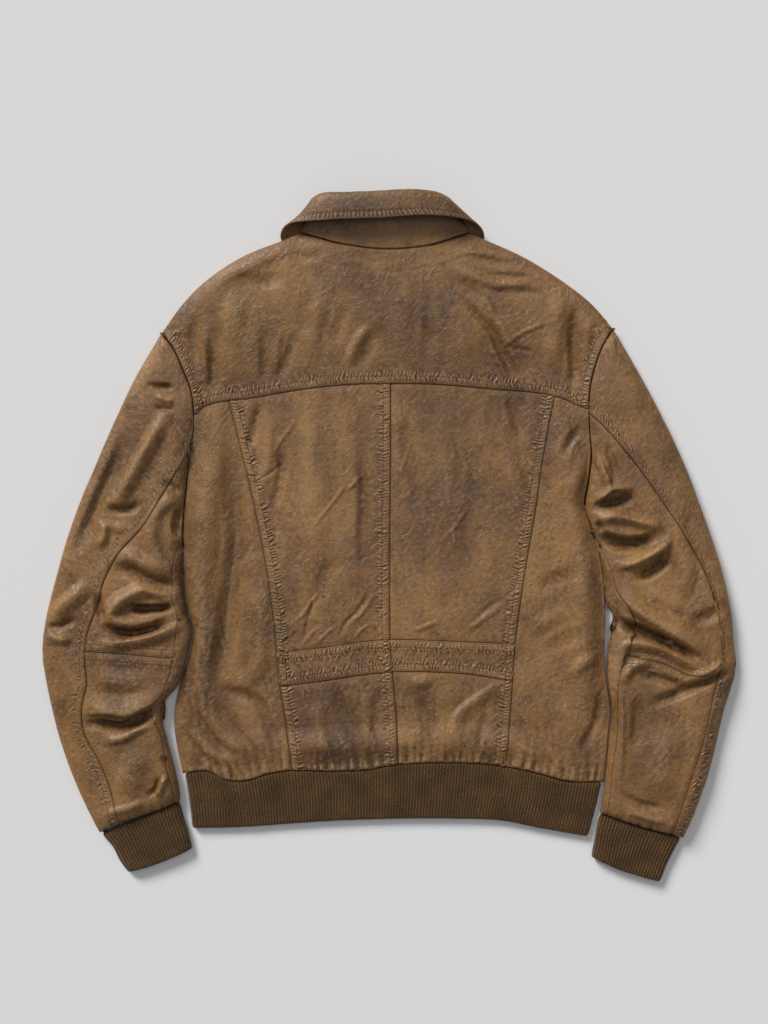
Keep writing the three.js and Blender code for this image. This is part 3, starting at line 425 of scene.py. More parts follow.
ARMHOLE_HEIGHT = ((0, SIDE_EDGE), (0.25, 8), (0.5, 12), (0.68, 16), (0.94, 17), (1, SHOULDER_EDGE))
ARMHOLE_ROUND = ((0, 0.5), (0.3, 0.7), (0.6, 1), (0.9, 1), (1, 0.5))


def backwards(pairs):
    return tuple((1 - s, v) for s, v in reversed(pairs))


shoulder_height = keyed((0, SHOULDER_EDGE), (1, NECK_EDGE))
body_outlines = [
    edge(side_left, SIDE_EDGE, 24, 0.5),
    edge(side_right, SIDE_EDGE, 24, 0.5),
    edge(shoulder_left, shoulder_height, 26, 0.5),
    edge(shoulder_right, shoulder_height, 26, 0.5),
]
sleeve_outlines = {
    name: [edge(s["outer"], SHOULDER_EDGE, 25, 0.5), edge(s["inner"], SIDE_EDGE, 15, 0.5)]
    for name, s in SLEEVES.items()
}
body_edges = [
    *body_outlines,
    edge(armhole_left, keyed(*ARMHOLE_HEIGHT), 24, keyed(*ARMHOLE_ROUND)),
    edge(armhole_right, keyed(*ARMHOLE_HEIGHT), 24, keyed(*ARMHOLE_ROUND)),
    edge(
        hem, keyed((0, SIDE_EDGE), (0.08, 8.8), (0.92, 8.8), (1, SIDE_EDGE)), 22,
        keyed((0, 0.5), (0.1, 0.6), (0.9, 0.6), (1, 0.5)),
    ),
    edge(
        part(neck_seam, NECK_LEFT, NECK_RIGHT),
        keyed((0, NECK_EDGE), (0.17, 16.4), (0.34, 18.8), (0.66, 18.8), (0.83, 16.4), (1, NECK_EDGE)), 30, 1,
    ),
]

BODY_FOLDS = [
    # the long rolls down both sides, and the roll above the hem
    fold(9.5, 30, 26, (-214, -262), (-220, -150), (-221, -20), (-212, 80), (-208, 190)),
    fold(9.0, 30, 26, (226, -262), (228, -160), (222, -20), (206, 110), (212, 190)),
    fold(5.5, 24, 24, (-232, -248), (-120, -246), (0, -240), (120, -240), (238, -252)),
    # left side panel
    fold(
        -7.5, 17, 17, (-184, 100), (-180, 40), (-178, 0), (-182, -45), (-188, -90), (-194, -140),
        (-208, -178),
    ),
    fold(4.5, 16, 16, (-152, -60), (-153, -120), (-158, -160), (-184, -170)),
    fold(
        -5, 11, 12, (-200, -176), (-172, -184), (-152, -194), (-143, -214), (-134, -236), (-118, -266),
        sharp=1.2,
    ),
    fold(
        -3.5, 6, 8, (-229, -178), (-228, -200), (-216, -222), (-200, -242), (-185, -253), (-172, -257),
        sharp=1.2,
    ),
    fold(3.5, 10, 10, (-214, -198), (-202, -220), (-188, -238), (-170, -250)),
    fold(3.0, 9, 8, (-238, -218), (-222, -238), (-205, -256), (-184, -266)),
    fold(-2.6, 5, 6, (-243, -226), (-230, -240), (-216, -258), (-208, -271), sharp=1.3),
    fold(-2.0, 4, 5, (-192, -192), (-186, -214), (-172, -232), (-158, -246), (-154, -264), sharp=1.3),
    fold(-3.5, 5, 6, (-234, -130), (-231, -162), (-230, -192), sharp=1.2),
    # left centre panel
    fold(-4.5, 8, 9, (-148, 160), (-157, 134), (-163, 100), sharp=1.1),
    fold(3.2, 10, 9, (-140, 150), (-141, 105), (-148, 60), (-156, 30)),
    fold(-4.5, 8, 9, (-126, 108), (-126, 82), (-130, 55), (-136, 28), sharp=1.1),
    fold(1.6, 3.5, 2.5, (-107, 142), (-118, 125), (-128, 112), (-135, 94)),
    fold(-1.3, 3, 3, (-124, 88), (-138, 76), (-153, 66)),
    fold(2.5, 20, 20, (-86, 170), (-88, 90), (-84, 10), (-96, -60)),
    fold(-4.2, 10, 10, (-31, 124), (-31, 80), (-30, 40), (-31, -10), (-26, -50), sharp=1.1),
    fold(1.3, 3, 3, (-46, 68), (-62, 46), (-78, 26), (-90, 10)),
    fold(1.2, 3, 3, (-26, 78), (-38, 66), (-52, 52)),
    fold(-2.2, 4, 5, (-20, -60), (-28, -74), (-38, -88), (-50, -100), (-60, -121), sharp=1.3),
    fold(1.6, 4, 3, (-16, -62), (-23, -76), (-33, -90), (-46, -102)),
    fold(-2.0, 4, 4, (-91, -58), (-90, -78), (-96, -100), (-99, -126), sharp=1.2),
    fold(1.6, 3.5, 3, (-78, -60), (-92, -77), (-102, -92), (-114, -101)),
    fold(-2.2, 14, 12, (-64, -20), (-76, -50), (-84, -80)),
    fold(1.4, 4, 3, (-82, -104), (-92, -114), (-103, -127)),
    fold(1.4, 4, 3, (-62, -104), (-74, -113), (-88, -127)),
    fold(1.4, 4, 3, (-20, -100), (-32, -108), (-42, -120)),
    fold(-1.4, 4, 4, (-108, -108), (-114, -118), (-120, -128)),
    # right centre panel
    fold(-3.4, 9, 10, (138, 168), (147, 145), (156, 112), sharp=1.1),
    fold(2.6, 16, 16, (122, 150), (132, 115), (150, 60), (146, 20)),
    fold(-2.6, 12, 12, (22, 160), (20, 110), (32, 60), (28, 10)),
    fold(2.2, 16, 16, (60, 150), (70, 80), (54, 0), (66, -60)),
    fold(-2.2, 12, 12, (98, 120), (100, 60), (88, 0), (100, -50)),
    fold(1.2, 3, 3, (28, 140), (24, 105), (12, 72)),
    fold(1.2, 3, 3, (96, 40), (80, 16), (60, -8)),
    fold(-1.4, 5, 5, (136, -70), (116, -82), (98, -100)),
    fold(1.6, 5, 4, (134, -80), (112, -94), (88, -112)),
    fold(1.4, 5, 4, (62, -96), (44, -104), (26, -110)),
    # waist panels
    fold(-3.4, 12, 12, (-62, -172), (-54, -205), (-40, -235), (-34, -262)),
    fold(2.6, 12, 12, (-84, -190), (-82, -225), (-72, -258)),
    fold(-3.0, 8, 9, (-14, -172), (-14, -205), (-18, -240), sharp=1.1),
    fold(2.4, 8, 8, (-30, -180), (-27, -215), (-16, -256)),
    fold(-4.6, 15, 17, (46, -166), (44, -196), (50, -226), (54, -258)),
    fold(4.2, 16, 6, (132, -169), (102, -188), (80, -208), (72, -236), (70, -258), sharp=1.1),
    fold(2.4, 10, 10, (24, -168), (36, -170), (52, -166)),
    fold(-2.0, 8, 8, (118, -190), (110, -220), (104, -254)),
    # right side panel
    fold(-4.2, 8, 9, (226, 130), (212, 112), (204, 92), sharp=1.1),
    fold(3.4, 9, 12, (230, 106), (226, 78), (214, 50)),
    fold(-2.4, 16, 12, (228, -34), (198, -48), (172, -64)),
    fold(2.6, 14, 14, (214, -80), (190, -94), (164, -112)),
    fold(-2.4, 13, 13, (240, -108), (208, -120), (176, -140)),
    fold(3.0, 11, 11, (250, -138), (228, -146), (206, -168)),
    fold(-4.0, 9, 9, (250, -176), (245, -208), (232, -238), (222, -252), sharp=1.1),
    fold(2.2, 7, 7, (150, -240), (166, -254), (176, -270)),
    fold(2.2, 7, 7, (184, -244), (196, -262), (204, -276)),
    # yoke, left
    fold(-3.0, 10, 10, (-224, 262), (-229, 236), (-226, 200), sharp=1.1),
    fold(3.0, 9, 9, (-214, 250), (-216, 215), (-218, 172)),
    fold(-3.2, 8, 8, (-207, 228), (-206, 200), (-204, 168), sharp=1.1),
    fold(4.0, 22, 16, (-176, 292), (-186, 250), (-190, 180)),
    fold(-3.0, 10, 9, (-148, 250), (-146, 218), (-145, 180), sharp=1.1),
    fold(2.6, 8, 8, (-126, 246), (-132, 218), (-136, 190)),
    fold(-3.0, 9, 9, (-108, 244), (-116, 216), (-130, 182), sharp=1.1),
    fold(-2.6, 14, 14, (-98, 284), (-98, 256), (-92, 236)),
    fold(3.0, 14, 14, (-72, 300), (-88, 240), (-92, 196)),
    fold(-2.6, 10, 12, (-48, 276), (-58, 244), (-66, 220)),
    fold(3.0, 10, 8, (-22, 250), (-40, 224), (-52, 194)),
    fold(-3.0, 12, 14, (-8, 250), (-28, 212), (-36, 194)),
    fold(-3.0, 14, 10, (-186, 302), (-150, 296), (-120, 304)),
    fold(-2.6, 10, 10, (-118, 332), (-96, 328), (-74, 334)),
    fold(2.6, 12, 12, (-200, 300), (-150, 324), (-112, 342)),
    # yoke, right
    fold(3.0, 16, 16, (22, 310), (16, 260), (24, 200)),
    fold(-2.6, 12, 12, (46, 300), (48, 250), (44, 200)),
    fold(-5.2, 9, 7, (84, 280), (102, 260), (120, 240), (128, 225), (137, 208), (150, 184), sharp=1.2),
    fold(3.4, 8, 8, (106, 290), (120, 262), (134, 240), (146, 214)),
    fold(2.6, 5, 5, (116, 226), (126, 208), (140, 183)),
    fold(1.6, 4, 4, (132, 223), (158, 240), (186, 252)),
    fold(-1.6, 5, 4, (134, 222), (152, 220), (172, 216)),
    fold(3.8, 9, 11, (66, 318), (90, 308), (112, 300), (138, 294), (172, 300), sharp=1.1),
    fold(-1.8, 5, 6, (104, 304), (138, 306), (170, 302)),
    fold(-1.8, 6, 7, (122, 288), (152, 288), (184, 282)),
    fold(-1.6, 5, 5, (76, 300), (94, 290), (112, 278)),
    fold(-1.6, 7, 7, (90, 328), (120, 321), (152, 320)),
    fold(2.2, 6, 6, (80, 334), (110, 332), (136, 328)),
    fold(-5.4, 10, 9, (222, 280), (216, 252), (215, 220), (217, 190), (212, 168), sharp=1.1),
    fold(4.0, 14, 16, (198, 292), (196, 250), (190, 190)),
    fold(2.6, 8, 8, (236, 262), (232, 236), (230, 204)),
]


BODY_FOLD_SHARE = 0.85  # of the folds' listed heights


def body_crown(x, y):
    """The back rises from its flat middle to the thicker shoulders, with the folds on it."""
    shoulders = smooth((y - 150) / 130)
    folds = BODY_FOLD_SHARE * folds_at(BODY_FOLDS, x, y)
    return BACK_CROWN + (SHOULDER_CROWN - BACK_CROWN) * shoulders + folds


SLEEVE_FOLDS = {
    "left": [
        # outside of the back seam
        fold(
            -7, 12, 11, (-306, 126), (-320, 86), (-332, 60), (-341, 40), (-349, 20), (-359, -2),
            (-370, -26),
        ),
        fold(
            8, 14, 11, (-252, 156), (-276, 116), (-294, 84), (-307, 60), (-319, 40), (-332, 26),
            sharp=1.1,
        ),
        fold(-6, 8, 9, (-332, 33), (-318, 33), (-302, 34), (-288, 42), sharp=1.1),
        fold(5, 8, 10, (-334, 22), (-331, 6), (-338, -14)),
        fold(3, 9, 9, (-332, 18), (-318, 12), (-304, 10)),
        fold(4, 6, 6, (-272, 166), (-262, 161), (-248, 159), sharp=1.2),
        fold(-5, 5, 5, (-282, 178), (-266, 176), (-250, 176), sharp=1.2),
        fold(-4, 5, 5, (-274, 152), (-262, 150), (-248, 149), sharp=1.2),
        fold(6, 12, 16, (-402, -100), (-384, -82), (-364, -66), (-348, -50), sharp=1.1),
        fold(-5, 7, 8, (-402, -105), (-384, -103), (-362, -94), sharp=1.1),
        fold(5, 8, 9, (-404, -110), (-390, -117), (-368, -119), sharp=1.2),
        # between the back seam and the body, above the elbow
        fold(-4, 8, 8, (-266, 66), (-252, 58), (-242, 50)),
        fold(4, 9, 12, (-242, 48), (-256, 41), (-268, 30), (-276, 12)),
        fold(-11, 8, 7, (-241, 38), (-248, 20), (-248, 10), (-241, -2), sharp=1.0),
        fold(6, 13, 16, (-268, 28), (-277, 6), (-274, -14), (-262, -30), (-246, -34)),
        fold(5, 14, 9, (-322, -26), (-304, -22), (-288, -28), (-270, -38), (-252, -44)),
        fold(-8, 10, 12, (-322, -38), (-302, -38), (-284, -47), (-268, -54), (-244, -56)),
        fold(
            9, 11, 13, (-246, -72), (-268, -64), (-286, -61), (-304, -69), (-320, -82), (-323, -93),
            (-308, -99), (-286, -98), (-266, -92),
        ),
        fold(-16, 7, 7, (-303, -81), (-290, -83), (-272, -83), (-252, -81), sharp=1.0),
        fold(-5, 8, 8, (-338, -64), (-337, -84), (-330, -98)),
        fold(-9, 9, 8, (-336, -104), (-318, -109), (-300, -111), (-282, -108), (-254, -97), sharp=1.1),
        fold(
            8, 6, 13, (-342, -121), (-320, -122), (-298, -119), (-278, -114), (-258, -107), (-238, -98),
            sharp=1.1,
        ),
        # below the elbow
        fold(4, 16, 16, (-340, -160), (-310, -168), (-280, -166)),
        fold(
            9, 24, 6, (-358, -206), (-342, -203), (-322, -204), (-305, -206), (-289, -199), (-262, -184),
            sharp=1.1,
        ),
        fold(
            -11, 5, 12, (-356, -216), (-336, -215), (-314, -218), (-296, -212), (-280, -204),
            (-266, -196), sharp=1.1,
        ),
        fold(4, 8, 8, (-338, -236), (-312, -234), (-292, -224), (-276, -218)),
        fold(4, 20, 20, (-306, -302), (-300, -272), (-288, -246)),
        fold(-4, 6, 6, (-282, -303), (-272, -293), (-267, -278), sharp=1.2),
        fold(5, 7, 6, (-258, -276), (-266, -290), (-270, -304), sharp=1.2),
        fold(-5, 6, 7, (-266, -254), (-256, -264), (-246, -272), sharp=1.2),
        fold(3, 7, 7, (-334, -322), (-306, -316), (-282, -308)),
    ],
    "right": [
        fold(5, 6, 8, (240, 98), (249, 80), (255, 64), (254, 52), sharp=1.1),
        fold(-4, 7, 7, (252, 108), (262, 84), (264, 62)),
        fold(7, 8, 6, (238, 42), (249, 48), (262, 56), (286, 56), sharp=1.1),
        fold(-9, 8, 9, (236, 34), (252, 39), (268, 42), (286, 48)),
        fold(7, 8, 9, (235, 27), (248, 22), (262, 25), (282, 21), (302, 16), (322, 12)),
        fold(-7, 5, 6, (241, 19), (247, 13), (248, 6), sharp=1.0),
        fold(-14, 9, 13, (238, 6), (254, -1), (274, -6), (296, -4), (314, 4), sharp=1.0),
        fold(9, 9, 9, (322, 6), (323, -6), (310, -17), (293, -26), (280, -31), (262, -32), sharp=1.1),
        fold(-8, 10, 11, (286, -48), (304, -40), (318, -30), (326, -18), sharp=1.1),
        fold(5, 16, 16, (330, 40), (340, -10), (346, -50), (330, -70)),
        fold(4, 14, 14, (296, -60), (318, -72), (344, -90)),
        fold(-4, 11, 11, (350, -98), (372, -92), (392, -82)),
        fold(9, 24, 9, (262, -62), (283, -81), (303, -95), (323, -107), (345, -120), (370, -136)),
        fold(
            -16, 8, 10, (262, -94), (280, -102), (300, -111), (322, -121), (342, -131), (364, -144),
            sharp=1.0,
        ),
        fold(8, 7, 12, (266, -130), (282, -123), (300, -124), (320, -129), (344, -142), (370, -154)),
        fold(-5, 8, 8, (292, -160), (320, -166), (346, -176)),
        fold(6, 8, 9, (272, -172), (278, -156), (290, -147), (306, -145)),
        fold(-7, 7, 12, (404, -155), (380, -165), (354, -176), (326, -188), (300, -196), sharp=1.1),
        fold(5, 12, 8, (392, -146), (372, -156), (350, -164)),
        fold(5, 26, 26, (318, -214), (322, -258), (308, -310)),
        fold(-5, 11, 11, (288, -184), (290, -216), (286, -250)),
        fold(3, 8, 8, (268, -170), (270, -220), (268, -280)),
        fold(-3.5, 7, 8, (268, -296), (292, -310), (322, -316), sharp=1.2),
        fold(3, 7, 7, (276, -318), (300, -326), (326, -334)),
    ],
}


def collar_lift(x, y):
    """How far the collar's front part lifts the fronts' underside off the floor."""
    reach = 228 + 118 * np.minimum(1, np.abs(x + 8) / 122) ** 4
    return COLLAR_LIFT * smooth((y - reach + 34) / 20)


back_height = upper(body_crown, body_edges)
under_height = under([*body_outlines, *sleeve_outlines["left"], *sleeve_outlines["right"]], collar_lift)

# ------------------------------------------------------------------ sheets of points


def patch(bottom, top, left, right, us, vs):
    """Points in plan between four curves, as an array [u][v] (a Coons patch)."""
    u, v = us[:, None, None], vs[None, :, None]
    across = (1 - u) * left.at(vs)[None] + u * right.at(vs)[None]
    low, high = (1 - v) * bottom.at(us)[:, None], v * top.at(us)[:, None]
    low_corners = (1 - u) * (1 - v) * bottom.at(0.0) + u * (1 - v) * bottom.at(1.0)
    corners = low_corners + (1 - u) * v * top.at(0.0) + u * v * top.at(1.0)
    return across + low + high - corners


def over(plan, height):
    """The plan's points lifted to a height field."""
    out = plan.copy()
    out[..., 2] = height(plan[..., 0], plan[..., 1])
    return out


def steps(length, spacing):
    """Even shares of a length, about a spacing apart."""
    return np.linspace(0, 1, max(2, round(length / spacing)) + 1)


def closer(size, spacing, start=0.4, end=0.4, reach=15):
    """Shares of a length whose spacing shrinks to the given part of itself towards the ends."""
    d = np.linspace(0, size, 2000)
    from_start = np.minimum(1, start + (1 - start) * d / reach)
    from_end = np.minimum(1, end + (1 - end) * (size - d) / reach)
    count = np.cumsum(1 / (spacing * from_start * from_end)) * d[1]
    count -= count[0]
    return np.interp(np.linspace(0, count[-1], round(count[-1]) + 1), count, d) / size


def normals(p, turn):
    """The unit normals of a sheet; turn is 1 or -1, and points them outwards."""
    along, across = np.gradient(p, axis=0), np.gradient(p, axis=1)
    n = np.cross(along, across) * turn
    return n / np.maximum(1e-9, np.linalg.norm(n, axis=-1, keepdims=True))


def lengths(p, axis):
    """Arc length along one axis of a sheet, from its first row."""
    d = np.linalg.norm(np.diff(p, axis=axis), axis=-1)
    zero = np.zeros_like(np.take(d, [0], axis))
    return np.cumsum(np.concatenate((zero, d), axis), axis)


def blurred(h, times):
    """A sheet's values, each averaged with its four neighbours a number of times."""
    for _ in range(times):
        p = np.pad(h, 1, mode="edge")
        h = (p[:-2, 1:-1] + p[2:, 1:-1] + p[1:-1, :-2] + p[1:-1, 2:] + 2 * h) / 6
    return h


def from_side(p, side):
    """The same sheet read with the row along one of its sides (l, r, b or t) first."""
    q = p if side in "lr" else p.swapaxes(0, 1)
    return q[::-1] if side in "rt" else q


def from_first(q, side):
    """The sheet read as before again."""
    q = q[::-1] if side in "rt" else q
    return q if side in "lr" else q.swapaxes(0, 1)


def seam_places(p):
    """For each side of a sheet, the distance from it and the length along it, at every point."""
    across_u, across_v = lengths(p, 0), lengths(p, 1)
    return {
        "l": (across_u, across_v[:1] + 0 * across_u),
        "r": (across_u[-1:] - across_u, across_v[-1:] + 0 * across_u),
        "b": (across_v, across_u[:, :1] + 0 * across_u),
        "t": (across_v[:, -1:] - across_v, across_u[:, -1:] + 0 * across_u),
    }


LAP_STITCH = 1.7
SECOND_STITCH = 9.0
TICK_PITCH = 4.0


def ticks(s, d, row, width, lean, seed):
    """One row of puckers across a line of stitches: uneven, slightly slanted, some of them weak."""
    strength = np.clip(0.65 + 1.1 * noise(s / 11, 0 * s + row, seed), 0.1, 1.5)
    phase = s / TICK_PITCH + 0.8 * noise(s / 10, d / 25, seed + 1) + lean * (d - row)
    wave = np.cos(2 * math.pi * phase) + 0.4 * np.cos(4 * math.pi * phase + 1.5)
    return wave * strength * np.exp(-(((d - row) / width) ** 2))


# How strong the puckers are beside each kind of stitched seam.
PUCKERS = {"lap": 1.0, "soft_lap": 0.6, "faint_lap": 0.3}


def seam_relief(kind, d, s, seed):
    """The relief beside a seam, in millimetres, from the distance to it and the length along it."""
    if kind == "outline":
        return 0.0
    if kind == "shoulder":
        return -0.8 * np.exp(-((d / 1.6) ** 2))
    if kind in ("gathered", "cuffed"):
        long_ones = 1.7 * np.exp(-d / 15) * noise(s / 7.5, d / 40, seed)
        short_ones = 1.0 * np.exp(-d / 7) * noise(s / 3.6, d / 30, seed + 1)
        amount = 1.0 if kind == "gathered" else 0.5
        return amount * (long_ones + short_ones) * smooth(d / 3) - 0.8 * amount * np.exp(-((d / 2) ** 2))
    if kind == "free_edge":
        phase = s / 5.2 + 0.5 * noise(s / 14, d / 30, seed)
        waves = 0.45 * np.cos(2 * math.pi * phase) * smooth((11 - d) / 4)
        return waves * smooth(d / 3) - 0.5 * np.exp(-(((d - 8.5) / 1.2) ** 2))
    groove = -0.4 * np.exp(-((d / 0.9) ** 2))
    if kind == "plain":
        return groove
    tugs = 0.5 * np.exp(-np.abs(d - 11) / 9) * noise((s + 0.7 * d) / 4.4, d / 26, seed + 3)
    if kind in ("under", "armhole"):
        return groove - 0.45 * np.exp(-((d / 4) ** 2)) + 0.4 * tugs
    lip = 0.6 * smooth(d / 1.1) * smooth((14 - d) / 6)
    first_stitched = 0.4 * np.exp(-(((d - LAP_STITCH) / 0.8) ** 2))
    stitched = first_stitched + 0.45 * np.exp(-(((d - SECOND_STITCH) / 0.9) ** 2))
    puckers = ticks(s, d, 5.4, 2.6, 0.07, seed) * 0.8 + ticks(s, d, 11.2, 2.9, -0.07, seed + 4) * 0.95
    return groove + lip - stitched + (puckers + tugs * (d > SECOND_STITCH)) * PUCKERS[kind]


# Worn places, stain marks and a few patches of painted shade: how much (above 0 golden and pale, below 0
# dark), half width and half length, and the line along which the patch lies.
STAINS_AND_SHADE = [
    (0.9, 10, (-99, 172), (-98, 120), (-94, 60), (-92, 10)),
    (0.5, 16, (-60, 150), (-54, 60), (-58, -20)),
    (-0.7, 12, (-26, 120), (-24, 40), (-30, -30)),
    (-0.5, 14, (10, 172), (34, 158), (40, 130)),
    (-0.55, 26, (66, 150), (60, 60), (52, -20)),
    (-0.45, 20, (100, 60), (86, -10), (96, -80)),
    (-0.9, 16, (-68, -196), (-56, -238)),
    (-0.7, 14, (-112, -186), (-74, -176)),
    (-0.8, 12, (-46, -262), (-14, -240)),
    (0.6, 16, (68, -212), (84, -250), (96, -270)),
    (-0.6, 14, (24, -186), (60, -196)),
    (-0.6, 14, (104, -150), (60, -140)),
    (-0.55, 18, (-10, 252), (20, 256), (56, 262)),
    (-0.45, 16, (0, 206), (60, 212), (110, 204)),
    (0.45, 26, (-130, 290), (-100, 250), (-104, 214)),
    (0.4, 24, (60, 330), (120, 312)),
    (-0.5, 12, (196, 256), (190, 222), (192, 190)),
    (0.6, 16, (-180, 262), (-176, 200)),
    (0.7, 18, (196, 280), (190, 220)),
    (0.5, 18, (-208, 60), (-196, -60), (-180, -150)),
    (0.5, 20, (176, 40), (170, -60)),
    (-0.6, 16, (-214, -150), (-190, -210), (-160, -250)),
    (-0.6, 14, (204, -60), (178, -90)),
    (-0.6, 18, (-296, 150), (-318, 90), (-352, 10)),
    (0.5, 20, (-300, 196), (-330, 120)),
    (-0.5, 20, (300, 180), (322, 120)),
    # Painted shade: the right sleeve's inner strip under its elbow fold.
    (-0.8, 14, (254, -60), (262, -110), (282, -140)),
    (-0.6, 18, (-300, -240), (-290, -280)),
    (-0.75, 34, (296, -190), (308, -250), (300, -300)),
    (0.5, 10, (352, -190), (340, -250), (330, -300)),
    (-0.85, 26, (-108, 374), (-60, 394), (40, 396), (90, 378)),
    # Painted shade: the collar stand under the fall.
    (-0.9, 10, (-96, 362), (-50, 372), (30, 373), (74, 362)),
    (-0.45, 40, (-96, -210), (-40, -230)),
    # Painted shade: the left side beside the sleeve.
    (-0.6, 16, (-234, 120), (-236, 0), (-240, -90)),
    (-0.4, 22, (-330, -150), (-310, -230)),
]


def stains_and_shade(x, y):
    """The amount of every stain mark and painted shade at a place, with ragged borders."""
    ragged_x, ragged_y = x + 9 * noise(x / 22, y / 22, 71), y + 9 * noise(x / 22, y / 22, 72)
    total = np.zeros_like(x)
    for amount, width, *points in STAINS_AND_SHADE:
        line = through(*points).points[::4, :2]
        total += amount * np.exp(-((nearest(line, ragged_x, ragged_y)[0] / width) ** 2))
    return np.clip(total, -1, 1)


def leather_relief(p, lean, seed):
    """The waves of soft leather, in millimetres, and its longer wrinkles."""
    x, y = p[..., 0], p[..., 1]
    broad = 1.3 * noise(x / 42, y / 64, seed) + 0.6 * noise(x / 23, y / 30, seed + 1)
    mask = smooth(0.35 + 1.3 * noise(x / 55, y / 55, seed + 2))
    wrinkles = 0.32 * crumple(x, y, 11, lean, 3.4, seed + 3) * mask
    fine = 0.22 * noise(x / 5.5, y / 5.5, seed + 5) + 0.12 * noise(x / 3, y / 3, seed + 6)
    return broad * 0.75 + wrinkles + fine


# ------------------------------------------------------------------ meshes


def mesh_object(name, vertices, faces, attributes=None, smooth_shaded=True):
    mesh = bpy.data.meshes.new(name)
    mesh.from_pydata((np.asarray(vertices) + ORIGIN) * MM, [], faces)
    mesh.polygons.foreach_set("use_smooth", [smooth_shaded] * len(mesh.polygons))
    for key, values in (attributes or {}).items():
        layer = mesh.attributes.new(key, "FLOAT", "POINT")
        layer.data.foreach_set("value", np.asarray(values, np.float32))
    mesh.update()
    made = bpy.data.objects.new(name, mesh)
    bpy.context.scene.collection.objects.link(made)
    return made


def quads(m, n, ring=False):
    """The faces of a sheet of points, closed round if it is a ring."""
    i, j = np.meshgrid(np.arange(m if ring else m - 1), np.arange(n - 1), indexing="ij")
    k = (i + 1) % m
    return np.stack([i * n + j, k * n + j, k * n + j + 1, i * n + j + 1], -1).reshape(-1, 4)


def every(count, step):
    """Numbers from the first to the last, a step apart, with no sliver before the last."""
    chosen = [*range(0, count - 1, step), count - 1]
    if len(chosen) > 2 and chosen[-1] - chosen[-2] < 2:
        chosen.pop(-2)
    return chosen


def lowest_near(h, reach, ring):
    """At each point of a sheet, the lowest height within a number of points along both directions."""
    for axis in (0, 1):
        pad = [(reach, reach) if k == axis else (0, 0) for k in (0, 1)]
        wide = np.pad(h, pad, mode="wrap" if ring and axis == 0 else "edge")
        size = h.shape[axis]
        h = np.min([np.take(wide, range(k, k + size), axis) for k in range(2 * reach + 1)], axis=0)
    return h


def inner_sheet(outer, normal, thickness, ring, step):
    """The inner face's points, lowered where its coarse faces could come out through the outer ones."""
    inner = outer - normal * thickness
    if step == INNER_STEP:
        below = np.maximum(lowest_near(outer[..., 2], step, ring) - INNER_DROP, INNER_FLOOR + 0.1)
        inner[..., 2] = np.where(normal[..., 2] > 0.3, np.minimum(inner[..., 2], below), inner[..., 2])
    inner[..., 2] = np.maximum(inner[..., 2], INNER_FLOOR)
    return inner


def shell(name, outer, normal, thickness, turn, attributes, ring=False, step=INNER_STEP):
    """A closed thin shell: the outer sheet, an inner sheet with fewer points, and the rims between them.

    Along the rims the inner sheet has every point of the outer one, so that the two join without gaps.
    """
    m, n = outer.shape[:2]
    us, vs = every(m, step), every(n, step)
    inner = inner_sheet(outer, normal, thickness, ring, step)
    needed = np.zeros((m, n), bool)
    needed[np.ix_(us, vs)] = True
    needed[:, [0, -1]] = True
    if not ring:
        needed[[0, -1], :] = True
    index = -np.ones((m, n), int)
    index[needed] = np.arange(needed.sum()) + m * n
    vertices = np.vstack((outer.reshape(-1, 3), inner[needed]))
    vertices[:, 2] = np.maximum(vertices[:, 2], 0.0)
    faces = quads(m, n, ring)[:, ::turn].tolist()

    def add(face):
        faces.append([int(v) for v in face[::turn]])

    def row(a, b, v, along_rim):
        """The inner points from column a to b: all of them along a rim, else the two ends."""
        amid = range(a + 1, b) if along_rim else ()
        return [index[k, v] for k in (a, *amid, b)]

    def column(u, c, d, along_rim):
        """The inner points of a column strictly between two rows, where it is a rim."""
        return [index[u, k] for k in range(c + 1, d)] if along_rim and not ring else []

    strips = list(zip(us[:-1], us[1:])) + ([(m - 1, 0)] if ring else [])
    for a, b in strips:
        for c, d in zip(vs[:-1], vs[1:]):
            low, high = row(a, b, c, c == 0), row(a, b, d, d == n - 1)
            left, right = column(a, c, d, a == 0), column(b, c, d, b == m - 1)
            add(low[:1] + left + high + right[::-1] + low[:0:-1])
    for j, flip in ((0, 1), (n - 1, -1)):
        for i in range(m if ring else m - 1):
            k = (i + 1) % m
            add([i * n + j, index[i, j], index[k, j], k * n + j][::flip])
    if not ring:
        for i, flip in ((0, -1), (m - 1, 1)):
            for j in range(n - 1):
                add([i * n + j, index[i, j], index[i, j + 1], i * n + j + 1][::flip])
    values = {k: np.concatenate((v.reshape(-1), v[needed])) for k, v in attributes.items()}
    return mesh_object(name, vertices, faces, values)


ALLOWANCE = ((2.6, 3.0), (0.9, 1.2))  # how far out and how far down each of its two rows goes


def tucked(p, normal, side):
    """The sheet with two more rows beyond one side, going down behind the piece that it is sewn to."""
    q, up = from_side(p, side), from_side(normal, side)
    out = q[0] - q[2]
    out /= np.maximum(1e-9, np.linalg.norm(out, axis=-1, keepdims=True))
    rows = np.stack([q[0] + out * far - up[0] * down for far, down in ALLOWANCE])
    return from_first(np.concatenate((rows, q)), side)


def widened(values, side, filled):
    """A sheet's attribute continued over the two rows that tucked adds."""
    return from_first(np.pad(from_side(values, side), ((2, 0), (0, 0)), constant_values=filled), side)


def trimmed(p, gaps):
    """The sheet with each side drawn back from its seam by a small gap in plan."""
    p = p.copy()
    for side, gap in gaps.items():
        q = from_side(p, side)
        step = q[1] - q[0]
        share = np.minimum(0.6, gap / np.maximum(1e-6, np.linalg.norm(step[..., :2], axis=-1)))
        q[0] += step * share[..., None]
    return p


threads = []  # centre, direction and normal of every stitch


